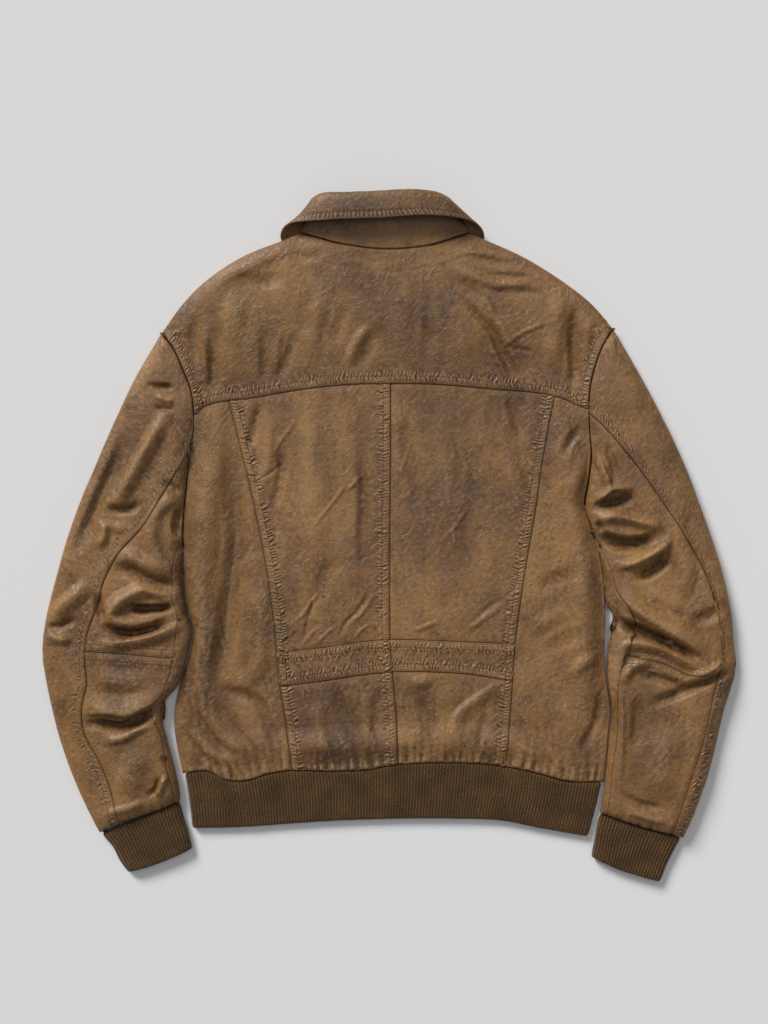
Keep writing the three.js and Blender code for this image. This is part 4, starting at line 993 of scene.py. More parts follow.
def sew(p, normal, side, distance):
    """Stitches at a distance from a side of a finished sheet."""
    q, nq = from_side(p, side), from_side(normal, side)
    d = lengths(q, 0)
    line, up = [], []
    for j in range(q.shape[1]):
        k = np.searchsorted(d[:, j], distance)
        if k == 0 or k >= len(d):
            continue
        t = (distance - d[k - 1, j]) / (d[k, j] - d[k - 1, j])
        line.append(q[k - 1, j] * (1 - t) + q[k, j] * t)
        up.append(nq[k, j])
    if len(line) < 3:
        return
    path, level = Curve(line), np.array(up)
    for along in np.arange(STITCH_MARGIN, path.size - STITCH_MARGIN, STITCH_PITCH):
        s = along / path.size
        a, b = path.at((along - 0.6) / path.size), path.at((along + 0.6) / path.size)
        n = np.array([np.interp(s, path.shares, level[:, k]) for k in range(3)])
        threads.append((path.at(s), (b - a) / np.linalg.norm(b - a), n / np.linalg.norm(n)))


# ------------------------------------------------------------------ materials


class Nodes:
    """A small helper for building a material's nodes."""

    def __init__(self, name):
        self.material = bpy.data.materials.new(name)
        self.material.use_nodes = True
        self.tree = self.material.node_tree
        self.tree.nodes.clear()
        self.shader = self.add("ShaderNodeBsdfPrincipled")
        output = self.add("ShaderNodeOutputMaterial")
        self.link(self.shader.outputs[0], output.inputs[0])
        self.place = self.add("ShaderNodeTexCoord").outputs["Object"]

    def add(self, kind, **settings):
        node = self.tree.nodes.new(kind)
        for key, value in settings.items():
            setattr(node, key, value)
        return node

    def link(self, source, target):
        self.tree.links.new(source, target)

    def attribute(self, name):
        return self.add("ShaderNodeAttribute", attribute_name=name).outputs["Fac"]

    def stretched(self, size, turn=0.0):
        """The place measured in features of a given size in metres, lying along an angle."""
        node = self.add("ShaderNodeMapping", vector_type="TEXTURE")
        self.link(self.place, node.inputs["Vector"])
        node.inputs["Scale"].default_value = size
        node.inputs["Rotation"].default_value = (0, 0, turn)
        return node.outputs[0]

    def noise(self, scale, detail=4, distortion=0.0, vector=None, rough=0.5):
        node = self.add("ShaderNodeTexNoise")
        node.inputs["Scale"].default_value = scale
        node.inputs["Detail"].default_value = detail
        node.inputs["Roughness"].default_value = rough
        node.inputs["Distortion"].default_value = distortion
        self.link(vector or self.place, node.inputs["Vector"])
        return node.outputs["Fac"]

    def cells(self, scale, feature="F1", vector=None):
        node = self.add("ShaderNodeTexVoronoi", feature=feature)
        node.inputs["Scale"].default_value = scale
        self.link(vector or self.place, node.inputs["Vector"])
        return node.outputs["Distance"]

    def ramp(self, source, *stops):
        node = self.add("ShaderNodeValToRGB")
        elements = node.color_ramp.elements
        while len(elements) < len(stops):
            elements.new(0.5)
        for element, (at, colour) in zip(elements, stops):
            element.position = at
            element.color = (*colour, 1) if len(colour) == 3 else colour
        self.link(source, node.inputs[0])
        return node.outputs[0]

    def spread(self, source, low, high, to_low=0.0, to_high=1.0):
        node = self.add("ShaderNodeMapRange")
        self.link(source, node.inputs[0])
        for k, value in enumerate((low, high, to_low, to_high), 1):
            node.inputs[k].default_value = value
        return node.outputs[0]

    def maths(self, operation, a, b):
        node = self.add("ShaderNodeMath", operation=operation)
        for socket, value in zip(node.inputs, (a, b)):
            if isinstance(value, (int, float)):
                socket.default_value = value
            else:
                self.link(value, socket)
        return node.outputs[0]

    def mix(self, factor, a, b, blend="MIX"):
        node = self.add("ShaderNodeMix", data_type="RGBA", blend_type=blend)
        for socket, value in zip((node.inputs[0], node.inputs[6], node.inputs[7]), (factor, a, b)):
            if isinstance(value, (int, float)):
                socket.default_value = value
            elif isinstance(value, tuple):
                socket.default_value = (*value, 1)
            else:
                self.link(value, socket)
        return node.outputs[2]

    def bump(self, height, strength, distance, normal=None):
        node = self.add("ShaderNodeBump")
        node.inputs["Strength"].default_value = strength
        node.inputs["Distance"].default_value = distance
        self.link(height, node.inputs["Height"])
        if normal is not None:
            self.link(normal, node.inputs["Normal"])
        return node.outputs[0]


def wrinkle_lines(n, size, turn, width, share):
    """Thin curved lines along an angle, in patches: 1 on a line, 0 away from it."""
    field = n.noise(1, 2, 0.9, n.stretched(size, turn), 0.55)
    line = n.spread(n.maths("ABSOLUTE", n.maths("SUBTRACT", field, 0.5), 0), width, 0)
    patchy = n.spread(n.noise(26, 2, 0.3, n.stretched((1, 1, 1), turn)), share + 0.1, share)
    return n.maths("MULTIPLY", line, n.maths("SUBTRACT", 1, patchy))


def leather_material():
    n = Nodes("worn_leather")
    broad = n.noise(8, 3, 0.4)
    patches = n.noise(30, 5, 0.8, rough=0.6)
    streaks = n.noise(1, 3, 0.6, n.stretched((0.035, 0.14, 0.1), -0.12))
    base = n.ramp(
        n.maths("ADD", n.maths("MULTIPLY", broad, 0.5), n.maths("MULTIPLY", patches, 0.5)),
        (0.36, (0.090, 0.040, 0.012)), (0.5, (0.192, 0.090, 0.026)), (0.64, (0.292, 0.148, 0.047)),
    )
    golden = n.mix(n.spread(streaks, 0.54, 0.72, 0, 0.6), base, (0.285, 0.140, 0.026))
    fine = n.noise(1, 5, 0.4, n.stretched((0.0075, 0.0042, 0.005), 0.9), 0.75)
    speckled = n.mix(n.spread(fine, 0.44, 0.28, 0, 0.5), golden, (0.070, 0.034, 0.013))
    dusted = n.mix(n.spread(fine, 0.54, 0.72, 0, 0.35), speckled, (0.36, 0.22, 0.11))
    long_lines = wrinkle_lines(n, (0.040, 0.0075, 0.02), 0.95, 0.020, 0.40)
    short_lines = wrinkle_lines(n, (0.024, 0.0060, 0.02), 0.35, 0.022, 0.44)
    steep_lines = wrinkle_lines(n, (0.030, 0.0070, 0.02), 1.45, 0.020, 0.44)
    lines = n.maths("MAXIMUM", n.maths("MAXIMUM", long_lines, short_lines), steep_lines)
    lined = n.mix(n.maths("MULTIPLY", lines, 0.34), dusted, (0.42, 0.25, 0.11))
    faded = n.mix(n.spread(n.attribute("tone"), 0.0, 1.0, 0, 0.6), lined, (0.33, 0.175, 0.050))
    # The dark side of the tone holds real stain marks and the painted shade listed with them.
    stained_and_shaded = n.mix(n.spread(n.attribute("tone"), 0.0, -1.0, 0, 0.62), faded, (0.080, 0.037, 0.015))
    # Pale on raised places: worn on the small relief, painted highlight on the broad ridges; dark in hollows:
    # painted shade.
    rubbed_and_highlit = n.mix(n.spread(n.attribute("wear_and_shading"), 0.1, 0.9, 0, 0.65), stained_and_shaded, (0.36, 0.215, 0.098))
    shaded_hollows = n.mix(n.spread(n.attribute("wear_and_shading"), -0.1, -0.9, 0, 0.8), rubbed_and_highlit, (0.050, 0.023, 0.009))
    dark_seams = n.mix(n.maths("MULTIPLY", n.attribute("seam"), 0.25), shaded_hollows, (0.045, 0.021, 0.008))
    n.link(dark_seams, n.shader.inputs["Base Color"])
    worn_smooth = n.spread(n.attribute("wear_and_shading"), -1, 1, 0.10, -0.08)
    rough = n.maths("ADD", n.spread(patches, 0.3, 0.7, 0.42, 0.56), worn_smooth)
    n.link(rough, n.shader.inputs["Roughness"])
    n.shader.inputs["Specular IOR Level"].default_value = 0.5
    ridges = n.bump(lines, 0.45, 0.0012)
    grain = n.bump(fine, 0.4, 0.0011, ridges)
    cells = n.bump(n.cells(420, "SMOOTH_F1"), 0.3, 0.0010, grain)
    pebble = n.bump(n.noise(900, 3, 0.3), 0.2, 0.0004, cells)
    n.link(pebble, n.shader.inputs["Normal"])
    return n.material


def knit_material():
    n = Nodes("ribbed_knit")
    tone = n.noise(22, 4, 0.5, rough=0.6)
    base = n.ramp(tone, (0.3, (0.078, 0.038, 0.009)), (0.7, (0.120, 0.062, 0.016)))
    loops = n.cells(1, vector=n.stretched((0.0023, 0.0019, 0.002)))
    rows = n.mix(n.spread(loops, 0.25, 0.75, 0, 0.5), base, (0.026, 0.012, 0.004))
    # Rib grooves and the tucked allowance are painted darker and rib tops lighter: painted shade and painted
    # highlight.
    shaded = n.mix(n.spread(n.attribute("wear_and_shading"), 0.3, -0.6, 0, 0.75), rows, (0.024, 0.011, 0.003))
    lit = n.mix(n.spread(n.attribute("wear_and_shading"), 0.1, 0.8, 0, 0.4), shaded, (0.185, 0.102, 0.034))
    n.link(lit, n.shader.inputs["Base Color"])
    n.shader.inputs["Roughness"].default_value = 0.92
    n.shader.inputs["Specular IOR Level"].default_value = 0.2
    n.shader.inputs["Sheen Weight"].default_value = 0.25
    n.shader.inputs["Sheen Roughness"].default_value = 0.5
    knitted = n.bump(loops, 0.8, 0.0010)
    fuzz = n.bump(n.noise(1500, 2), 0.25, 0.0004, knitted)
    n.link(fuzz, n.shader.inputs["Normal"])
    return n.material


def thread_material():
    n = Nodes("stitching_thread")
    tone = n.noise(60, 3)
    colour = n.ramp(tone, (0.3, (0.115, 0.066, 0.030)), (0.7, (0.215, 0.130, 0.062)))
    n.link(colour, n.shader.inputs["Base Color"])
    n.shader.inputs["Roughness"].default_value = 0.7
    return n.material


def tape_material():
    n = Nodes("zip_tape")
    weave = n.cells(1500)
    colour = n.ramp(weave, (0.1, (0.030, 0.017, 0.008)), (0.6, (0.060, 0.036, 0.018)))
    n.link(colour, n.shader.inputs["Base Color"])
    n.shader.inputs["Roughness"].default_value = 0.9
    n.link(n.bump(weave, 0.4, 0.0003), n.shader.inputs["Normal"])
    return n.material


def brass_material():
    n = Nodes("aged_brass")
    tone = n.noise(240, 4, 0.5)
    colour = n.ramp(tone, (0.35, (0.17, 0.115, 0.05)), (0.65, (0.42, 0.31, 0.15)))
    n.link(colour, n.shader.inputs["Base Color"])
    n.link(n.spread(tone, 0.3, 0.7, 0.5, 0.28), n.shader.inputs["Roughness"])
    n.shader.inputs["Metallic"].default_value = 1.0
    return n.material


MATERIALS = {
    "leather": leather_material(),
    "rib_knit": knit_material(),
    "zip_tape": tape_material(),
    "zip_metal": brass_material(),
}
THREAD = thread_material()


def finish_piece(made, slot, *nodes, material=None):
    """Give a mesh its material, attach it to the root body, and hide the CAD nodes that it replaces."""
    made.data.materials.append(material or MATERIALS[slot])
    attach(made, "root")
    if nodes:
        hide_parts(*nodes)
    return made


# ------------------------------------------------------------------ leather pieces


def leather_piece(node, plan, height, turn, kinds, seed, lean=0.9, relief=1.0):
    """A leather panel: its plan lifted to a height, drawn back from its seams, and finished."""
    p = trimmed(over(plan, height), {side: SEAM_SHOWN for side in kinds})
    return leather_sheet(node, p, turn, kinds, seed, lean, relief)


def leather_sheet(node, p, turn, kinds, seed, lean, relief, step=INNER_STEP):
    """Creases, seam relief, stitches, worn tones with painted highlight and shade, and shell for a sheet
    whose base form is given.
    """
    normal = normals(p, turn)
    places = seam_places(p)
    amount = np.full(p.shape[:2], float(relief)) if np.isscalar(relief) else relief
    settle = 1.0
    seam = np.zeros(p.shape[:2])
    shift = np.zeros(p.shape[:2])
    for k, (side, kind) in enumerate(kinds.items()):
        d, s = places[side]
        settle = settle * (0.2 + 0.8 * smooth(d / 9))
        shift = shift + seam_relief(kind, d, s, seed * 7 + k * 31) * np.minimum(1, amount + 0.1)
        if kind != "outline":
            seam = np.maximum(seam, np.exp(-((d / 0.9) ** 2)))
    shift = shift + leather_relief(p, lean, seed) * settle * amount
    done = p + normal * shift[..., None]
    done[..., 2] = np.maximum(done[..., 2], 0.0)
    final = normals(done, turn)
    for side, kind in kinds.items():
        if kind in PUCKERS:
            sew(done, final, side, LAP_STITCH)
            sew(done, final, side, SECOND_STITCH)
    # Raised places of the small relief are worn pale and its hollows darker; the broad folds add painted
    # highlight on their ridges and painted shade in their troughs.
    sharpness = shift - blurred(shift, 9)
    broad = done[..., 2] - blurred(done[..., 2], 160)
    wear_and_shading = np.clip(sharpness * 2.5 + np.clip(broad * 0.12, -0.8, 0.4), -1, 1)
    for side, kind in kinds.items():
        if kind == "armhole":
            done = tucked(done, final, side)
            # The tucked rows get the darkest tone: painted shade in the gap behind the seam.
            wear_and_shading, seam = widened(wear_and_shading, side, -1.0), widened(seam, side, 1.0)
    final = normals(done, turn)
    tone = stains_and_shade(done[..., 0], done[..., 1])
    attributes = {"wear_and_shading": wear_and_shading, "seam": seam, "tone": tone}
    made = shell(f"{node}_cloth", done, final, LEATHER, turn, attributes, step=step)
    finish_piece(made, "leather", node)


def yoke():
    neck = part(neck_seam, NECK_LEFT, NECK_RIGHT)
    top = join(shoulder_left, neck, reverse(shoulder_right))
    left = part(armhole_left, where(armhole_left, 1, YOKE_END_LEFT), 1)
    right = part(armhole_right, where(armhole_right, 1, YOKE_END_RIGHT), 1)
    us, vs = closer(yoke_seam.size, FINE, 0.6, 0.6), closer(205, ACROSS, 0.35, 0.3)
    plan = patch(yoke_seam, top, left, right, us, vs)
    kinds = {"b": "lap", "l": "lap", "r": "lap", "t": "shoulder"}
    leather_piece("back_yoke", plan, back_height, 1, kinds, 11, lean=0.4)


def back_side(node, side, armhole, yoke_y, princess, hem_x, yoke_x, mirrored, seed):
    """The long panel between the body's outline and a princess seam, from the hem to the yoke."""
    outer = join(side, part(armhole, 0, where(armhole, 1, yoke_y)))
    seam = reverse(princess)
    bottom, top = between(hem, 0, *hem_x), between(yoke_seam, 0, *yoke_x)
    left, right = (seam, outer) if mirrored else (outer, seam)
    bottom = drawn_to(bottom, left.at(0.0), right.at(0.0))
    top = drawn_to(top, left.at(1.0), right.at(1.0))
    us, vs = closer(118, ACROSS, 0.4, 0.4), closer(princess.size, FINE * 1.3, 0.5, 0.5)
    plan = patch(bottom, top, left, right, us, vs)
    inside, outside = ("l", "r") if mirrored else ("r", "l")
    kinds = {"b": "gathered", "t": "under", inside: "under", outside: "outline"}
    leather_piece(node, plan, back_height, 1, kinds, seed, lean=1.3 if mirrored else 1.9)


def band_shares(seam):
    """The shares of an upward seam at which the waist band's two edges cross it."""
    x = seam.at(0.3)[0]
    side = 1.0 if x > 60 else 0.0
    low = -158 if abs(x) < 60 else band_bottom.at(side)[1]
    high = -120 if abs(x) < 60 else band_top.at(side)[1]
    return [0.0, where(seam, 1, low), where(seam, 1, high), 1.0]


def back_half(side, left_seam, right_seam, yoke_x, top_x, bottom_x, hem_x, centre_kinds, seed):
    """The lower back, the band's half and the centre back, one above the other between two seams."""
    rows = [
        ("back_waist_", hem, hem_x, band_bottom, bottom_x, {"b": "gathered", "t": "under"}),
        ("back_band_", band_bottom, bottom_x, band_top, top_x, {"b": "lap", "t": "lap"}),
        ("back_centre_", band_top, top_x, yoke_seam, yoke_x, {"b": "under", "t": "under"}),
    ]
    seams = [reverse(left_seam), reverse(right_seam)]
    shares = [band_shares(s) for s in seams]
    for k, (name, low, low_x, high, high_x, kinds) in enumerate(rows):
        l, r = (part(s, share[k], share[k + 1]) for s, share in zip(seams, shares))
        bottom = drawn_to(between(low, 0, *low_x), l.at(0.0), r.at(0.0))
        top = drawn_to(between(high, 0, *high_x), l.at(1.0), r.at(1.0))
        us = closer(bottom.size, FINE if k == 1 else ACROSS * 0.85, 0.4, 0.4)
        vs = closer(l.size, FINE, 0.6, 0.6)
        plan = patch(bottom, top, l, r, us, vs)
        leather_piece(name + side, plan, back_height, 1, {**kinds, **centre_kinds}, seed + k, lean=1.75)


def back_panels():
    yoke()
    back_side(
        "back_side_left", side_left, armhole_left, YOKE_END_LEFT, princess_left,
        (-242, -114), (-228, -188), False, 21,
    )
    back_side(
        "back_side_right", side_right, armhole_right, YOKE_END_RIGHT, princess_right,
        (137, 252), (194, 233), True, 24,
    )
    back_half(
        "left", princess_left, centre_back, (-188, 2), (-132, 1.5), (-128, 4), (-114, 10),
        {"l": "lap", "r": "lap"}, 31,
    )
    back_half(
        "right", centre_back, princess_right, (2, 194), (1.5, 148), (4, 145), (10, 137),
        {"l": "under", "r": "lap"}, 35,
    )


def front(node, side, armhole, shoulder, hem_x, edge_x, neck, mirrored, seed):
    """A plain front under the back, from the body's outline to the zip."""
    outer, top = join(side, armhole), join(shoulder, neck)
    bottom = between(hem, 0, hem_x, edge_x)
    start, end = bottom.at(1.0), neck.at(1.0)
    opening = through(start[:2], (start[0], 0), end[:2])
    us, vs = closer(250, COARSE, 0.3, 1), steps(outer.size, COARSE)
    plan = patch(bottom, top, outer, opening, us, vs)
    turn = 1 if mirrored else -1
    kinds = {"l": "outline", "r": "plain", "b": "plain", "t": "outline"}
    leather_piece(node, plan, under_height, turn, kinds, seed, relief=0.15)


def fronts():
    left_neck, right_neck = part(neck_seam, NECK_LEFT, 0), part(neck_seam, NECK_RIGHT, 1)
    front("front_left", side_left, armhole_left, shoulder_left, -242, -FRONT_EDGE, left_neck, False, 41)
    front("front_right", side_right, armhole_right, shoulder_right, 252, FRONT_EDGE, right_neck, True, 42)


def kept_above(h, least, softness=1.6):
    """Heights that level out softly above the least one."""
    return least + softness * np.logaddexp(0, (h - least) / softness)


class Retimed(Curve):
    """A curve read by another one's shares: its own share `here` answers to the other's share `there`."""

    def __init__(self, points, there, here):
        super().__init__(points)
        self.there = (0, there, 1)
        self.here = (0, here, 1)

    def at(self, s):
        return super().at(np.interp(s, self.there, self.here))


SLEEVE_FLOOR = 6.0  # the deepest trough levels out at this height
SLEEVE_LEAN = {"left": 2.1, "right": 1.0}  # the direction of the small creases


def sleeve(name, seed):
    """A sleeve: a long sheet round the outer edge and the underside, and a piece each side of the elbow."""
    s, folds = SLEEVES[name], SLEEVE_FOLDS[name]
    turn = -1 if name == "right" else 1
    cuff_seam = s["cuff_seam"]
    armhole = drawn_to(s["armhole"], s["outer"].at(0.0), s["inner"].at(0.0))
    armhole_height, armhole_round = keyed(*backwards(ARMHOLE_HEIGHT)), keyed(*backwards(ARMHOLE_ROUND))
    top = upper(
        lambda x, y: kept_above(SLEEVE_CROWN + folds_at(folds, x, y), SLEEVE_FLOOR),
        [
            *sleeve_outlines[name],
            edge(armhole, armhole_height, 26, armhole_round),
            edge(cuff_seam, 10, 20, 0.6),
        ],
    )
    back, inner = where(s["armhole"], 1, s["back_at"]), where(s["armhole"], 1, s["inner_at"])
    cuff_back = where(cuff_seam, 0, s["back_seam"].points[-1, 0])
    cuff_inner = where(cuff_seam, 0, s["inner_seam"].points[-1, 0])

    def down(line, start, end):
        """A line down the sleeve, drawn to shares of the armhole and of the cuff's seam."""
        return drawn_to(line, armhole.at(start), cuff_seam.at(end))

    outer, inner_edge = down(s["outer"], 0, 0), down(s["inner"], 1, 1)
    back_seam, inner_seam = down(s["back_seam"], back, cuff_back), down(s["inner_seam"], inner, cuff_inner)
    elbow = where(back_seam, 1, s["elbow"].points[0, 1])
    elbow_inner = where(inner_seam, 1, s["elbow"].points[-1, 1])
    elbow_seam = drawn_to(s["elbow"], back_seam.at(elbow), inner_seam.at(elbow_inner))
    timed_inner = Retimed(inner_seam.points, elbow, elbow_inner)

    # The long sheet: from the back seam to the outer edge, across the underside, and up to the inner seam.
    vs = steps(back_seam.size, FINE * 1.1)
    us = closer(100, ACROSS, 0.4, 0.3)
    armhole_above, cuff_above = part(armhole, back, 0), part(cuff_seam, cuff_back, 0)
    above = over(patch(armhole_above, cuff_above, back_seam, outer, us, vs), top)
    us = closer(150, COARSE * 1.4, 0.3, 0.3)
    below = over(patch(armhole, cuff_seam, outer, inner_edge, us, vs), under_height)[1:-1]
    us = closer(14, 1.2, 0.5, 0.5)
    armhole_inside, cuff_inside = part(armhole, 1, inner), part(cuff_seam, 1, cuff_inner)
    inside = over(patch(armhole_inside, cuff_inside, inner_edge, timed_inner, us, vs), top)
    long_sheet = trimmed(np.concatenate((above, below, inside)), dict.fromkeys("lrbt", SEAM_SHOWN))
    amount = np.clip((long_sheet[..., 2] - 7) / 6, 0.1, 1)
    amount[len(above) + 1:len(above) + len(below) - 1] = 0.1
    kinds = {"l": "soft_lap" if name == "left" else "lap", "r": "plain", "b": "armhole", "t": "cuffed"}
    leather_sheet(f"sleeve_{name}_top", long_sheet, turn, kinds, seed, SLEEVE_LEAN[name], amount)

    armhole_between, cuff_between = part(armhole, back, inner), part(cuff_seam, cuff_back, cuff_inner)
    halves = [
        ("above_elbow", armhole_between, elbow_seam, 0, elbow, {"b": "armhole", "t": "faint_lap"}),
        ("below_elbow", elbow_seam, cuff_between, elbow, 1, {"b": "faint_lap", "t": "cuffed"}),
    ]
    for k, (half, low, high, start, end, kinds) in enumerate(halves, 1):
        left = part(back_seam, start, end)
        right = Curve(timed_inner.at(np.linspace(start, end, 240)))
        us, vs = closer(105, ACROSS * 0.9, 0.45, 0.45), closer(left.size, FINE * 1.2, 0.5, 0.5)
        plan = patch(low, high, left, right, us, vs)
        kinds = {**kinds, "l": "under", "r": "plain"}
        leather_piece(f"sleeve_{name}_{half}", plan, top, -turn, kinds, seed + k, SLEEVE_LEAN[name])


def collar():
    """The collar leaf: from the neck seam up as a stand, over the fold, and down to its free edge."""
    flat_fold, high_fold = 3.6, 31.5
    shares = np.linspace(0, 1, int(neck_seam.size / 1.1))
    neck, fold_line, free = neck_seam.at(shares), collar_fold.at(shares), collar_edge.at(shares)
    front_part = (shares < NECK_LEFT) | (shares > NECK_RIGHT)
    lowest = under_height(neck[:, 0], neck[:, 1]) + LEATHER / 2
    neck[:, 2] = np.where(front_part, np.minimum(neck[:, 2], lowest), neck[:, 2])
    loft = np.clip((fold_line[:, 2] - flat_fold) / (high_fold - flat_fold), 0, 1)

    def rail(a, b, t, high, low):
        """A line between two others, bulged by one height where the collar stands and one where it lies."""
        lift = np.zeros_like(a)
        lift[:, 2] = high * loft + low * (1 - loft)
        return a + (b - a) * t + lift

    stand = [neck, rail(neck, fold_line, 0.3, -2.2, 0.3), rail(neck, fold_line, 0.84, -2.6, 1.6)]
    fall = [fold_line, rail(fold_line, free, 0.12, 3.6, -1.4), rail(fold_line, free, 0.5, 3.2, -0.6), free]
    rails = np.stack(stand + fall, 1)
    middle = np.stack([through(*row).at(np.linspace(0, 1, 78)) for row in rails])
    middle = trimmed(middle, {"b": 0.45})
    p = middle + normals(middle, -1) * LEATHER / 2
    relief = np.ones(p.shape[:2]) * (0.25 + 0.5 * loft[:, None])
    leather_sheet("collar", p, -1, {"b": "plain", "t": "free_edge"}, 51, 0.1, relief, step=2)


# ------------------------------------------------------------------ ribbed knit

RIB_PITCH = 3.7
CUFF_RIB_SHARE = 0.93  # the cuffs' ribs are wider apart than the hem band's


def rib_relief(s, t, seed):
    """Raised columns with a deep groove between, slightly uneven."""
    wobble = 0.35 * noise(s / 30, t / 25, seed)
    columns = 0.42 * np.cos(2 * math.pi * (s / RIB_PITCH + wobble * 0.5))
    return columns + 0.25 * noise(s / 26, t / 18, seed + 1)


def flat_tube(left, right, crown, level, reach):
    """The heights of a flattened tube: its upper side, round at both edges, and its underside."""
    edges = [edge(left, level, reach, 0.5), edge(right, level, reach, 0.5)]

    def bottom(x, y):
        d = np.minimum(*(nearest(line, x, y)[0] for line, _, _, _ in edges))
        t = np.minimum(1, d / reach)
        return level * (1 - np.sqrt(1 - (1 - t) ** 2))

    return upper(lambda x, y: np.full(x.shape, float(crown)), edges), bottom


def sheet_normals(p, turn, ring):
    """The normals of a sheet that may be closed round."""
    return normals(np.concatenate((p[-2:], p, p[:2])), turn)[2:-2] if ring else normals(p, turn)


def knit_piece(node, p, turn, ring, seed, along, sewn):
    """A ribbed piece: its base form, the ribs along it, rolled edges, and an allowance at its seam."""
    normal = sheet_normals(p, turn, ring)
    t = lengths(p, 1)
    ribs = rib_relief(along, t, seed)
    rolled_edge = -0.9 * np.exp(-((np.minimum(t, t[:, -1:] - t)) / 2.0) ** 2)
    done = p + normal * (ribs + rolled_edge)[..., None]
    done[..., 2] = np.maximum(done[..., 2], 0.0)
    done = tucked(done, normal, sewn)
    # Painted highlight on the rib tops, painted shade in the grooves and on the tucked rows.
    wear_and_shading = widened(np.clip(ribs * 1.3, -1, 1), sewn, -1.0)
    made = shell(f"{node}_cloth", done, sheet_normals(done, turn, ring), KNIT, turn, {"wear_and_shading": wear_and_shading}, ring)
    finish_piece(made, "rib_knit", node)


def cuff(name, seed):
    """A closed tube of knit: its upper side, then its underside, as one ring of points."""
    s = SLEEVES[name]
    top, bottom = flat_tube(s["cuff_outer"], s["cuff_inner"], CUFF_CROWN, CUFF_EDGE, 9)
    sewn = drawn_to(s["cuff_seam"], s["cuff_outer"].at(0.0), s["cuff_inner"].at(0.0))
    us, vs = closer(105, 0.8, 0.4, 0.4), closer(56, 2.2, 0.5, 0.5)
    plan = patch(sewn, s["cuff_end"], s["cuff_outer"], s["cuff_inner"], us, vs)
    p = np.concatenate((over(plan, top), over(plan, bottom)[1:-1][::-1]))
    p = trimmed(p, {"b": SEAM_SHOWN})
    along = lengths(p, 0)
    along = along[:, :1] * CUFF_RIB_SHARE + 0 * along
    knit_piece(f"cuff_{name}", p, -1 if name == "left" else 1, True, seed, along, "b")


def hem_band():
    """One strip of knit: from the zip round the left edge, across the back, and back to the zip."""
    top, bottom = flat_tube(rib_left, rib_right, RIB_CROWN, RIB_EDGE, 5.5)
    sewn = drawn_to(hem, rib_left.at(0.0), rib_right.at(0.0))
    sewn = Curve(sewn.points - np.array([0, RIB_GAP, 0]))
    middle, gap = where(rib_bottom, 0, 0), FRONT_EDGE / rib_bottom.size
    vs = closer(62, 3.4, 0.35, 0.35)
    count = steps(490, 0.9)
    ends = 0.5 * (1 - np.cos(np.pi * count)) * 0.04 + count * 0.96
    left_front, right_front = (middle - gap) * (1 - count[::2]), 1 - (1 - middle - gap) * count[::2]
    parts = []
    for us, height in ((left_front, bottom), (ends, top), (right_front, bottom)):
        plan = patch(rib_bottom, sewn, reverse(rib_left), reverse(rib_right), us, vs)
        parts.append(over(plan, height))
    p = np.concatenate((parts[0][:-1], parts[1], parts[2][1:]))
    along = lengths(p, 0)
    knit_piece("hem_band", p, 1, False, 61, along[:, -1:] + 0 * along, "t")


# ------------------------------------------------------------------ stitches, zip


def stitches():
    """Every stitch as a short thread with round ends, joined in one mesh."""
    length, radius, sides = 2.5, 0.36, 4
    stations = [(-0.5, 0.3), (-0.2, 1.0), (0.2, 1.0), (0.5, 0.3)]
    angles = np.arange(sides) * 2 * math.pi / sides
    vertices, faces = [], []
    for centre, along, up in threads:
        across = np.cross(up, along)
        base = len(vertices)
        for t, r in stations:
            middle = centre + along * t * length + up * (0.22 - 0.5 * (2 * t) ** 2 * radius)
            for a in angles:
                vertices.append(middle + (across * math.cos(a) + up * math.sin(a)) * radius * r)
        for k in range(len(stations) - 1):
            for a in range(sides):
                b = (a + 1) % sides
                low, high = base + k * sides, base + (k + 1) * sides
                faces.append([low + a, low + b, high + b, high + a])
        faces.append([base + a for a in range(sides)][::-1])
        faces.append([base + (len(stations) - 1) * sides + a for a in range(sides)])
    made = mesh_object("seam_stitches", vertices, faces)
    finish_piece(made, "leather", material=THREAD)


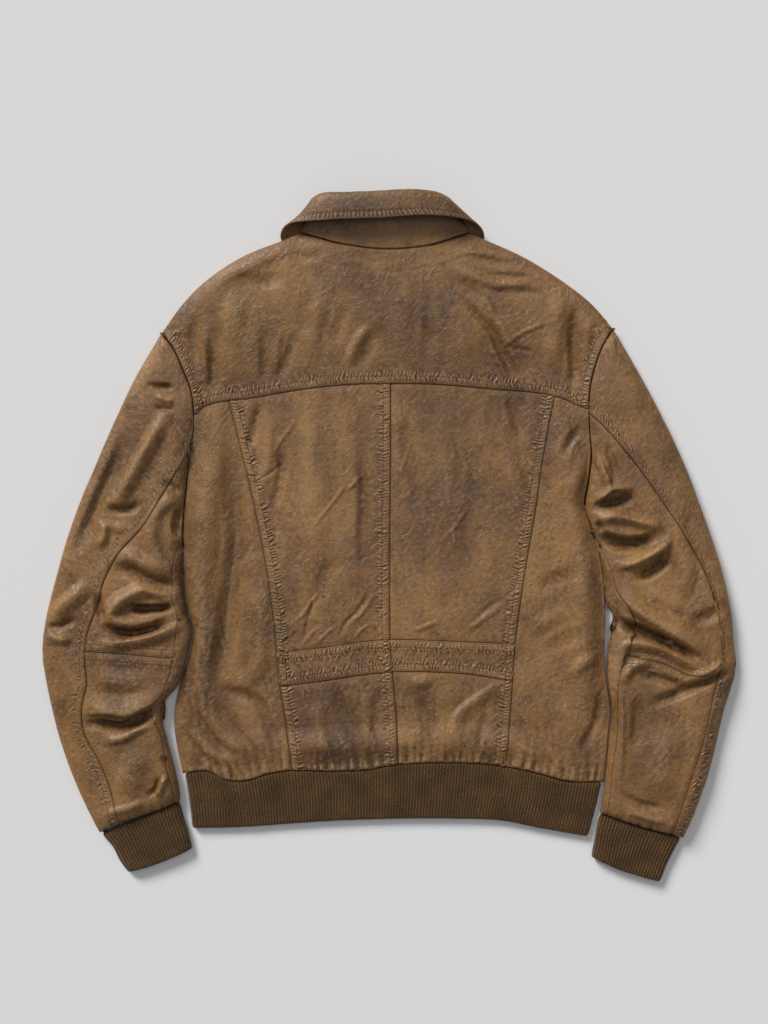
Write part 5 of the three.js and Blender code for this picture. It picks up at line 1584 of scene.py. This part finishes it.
def carried_over():
    """The zip's hidden pieces keep their CAD shape and get a finished material."""
    for node in ("zip_chain", "zip_slider", "zip_tape_left", "zip_tape_right"):
        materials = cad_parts[node].data.materials
        materials.clear()
        materials.append(MATERIALS["zip_tape" if "tape" in node else "zip_metal"])


# ------------------------------------------------------------------ room, light, camera


FLOOR_REACH = 6000
FLOOR_TOP = -0.3


def floor():
    corners = [(x * FLOOR_REACH, y * FLOOR_REACH, FLOOR_TOP) for x, y in ((-1, -1), (1, -1), (1, 1), (-1, 1))]
    made = mesh_object("floor", corners, [[0, 1, 2, 3]], smooth_shaded=False)
    n = Nodes("pale_floor")
    n.shader.inputs["Base Color"].default_value = (0.80, 0.80, 0.80, 1)
    n.shader.inputs["Roughness"].default_value = 0.9
    made.data.materials.append(n.material)


def lamp(name, kind, place, colour, **settings):
    """A light at a place, shining on the middle of the jacket."""
    data = bpy.data.lights.new(name, kind)
    data.color = colour
    for key, value in settings.items():
        setattr(data, key, value)
    made = bpy.data.objects.new(name, data)
    made.location = place
    made.rotation_mode = "QUATERNION"
    made.rotation_quaternion = (-made.location).to_track_quat("-Z", "Y")
    bpy.context.scene.collection.objects.link(made)


def lights():
    lamp("window", "SUN", (-1.6, 2.3, 1.55), (1.0, 0.985, 0.965), energy=3.25, angle=math.radians(22))
    lamp("sky", "AREA", (0.3, 1.2, 5.5), (0.98, 0.99, 1.0), energy=50, size=3.5)
    world = bpy.data.worlds.new("room")
    world.use_nodes = True
    background = world.node_tree.nodes["Background"]
    background.inputs["Color"].default_value = (0.95, 0.96, 1.0, 1)
    background.inputs["Strength"].default_value = 0.22
    bpy.context.scene.world = world


def camera():
    data = bpy.data.cameras.new("camera")
    data.lens, data.sensor_width = 50, 36
    data.clip_start, data.clip_end = 0.05, 50
    made = bpy.data.objects.new("camera", data)
    made.location = (-0.00597, 0.03007, 1.676)
    bpy.context.scene.collection.objects.link(made)
    bpy.context.scene.camera = made


back_panels()
fronts()
for number, which in enumerate(SLEEVES):
    sleeve(which, 71 + 10 * number)
    cuff(which, 91 + number)
hem_band()
collar()
stitches()
carried_over()
floor()
lights()
camera()
bpy.context.scene.view_settings.view_transform = "Standard"
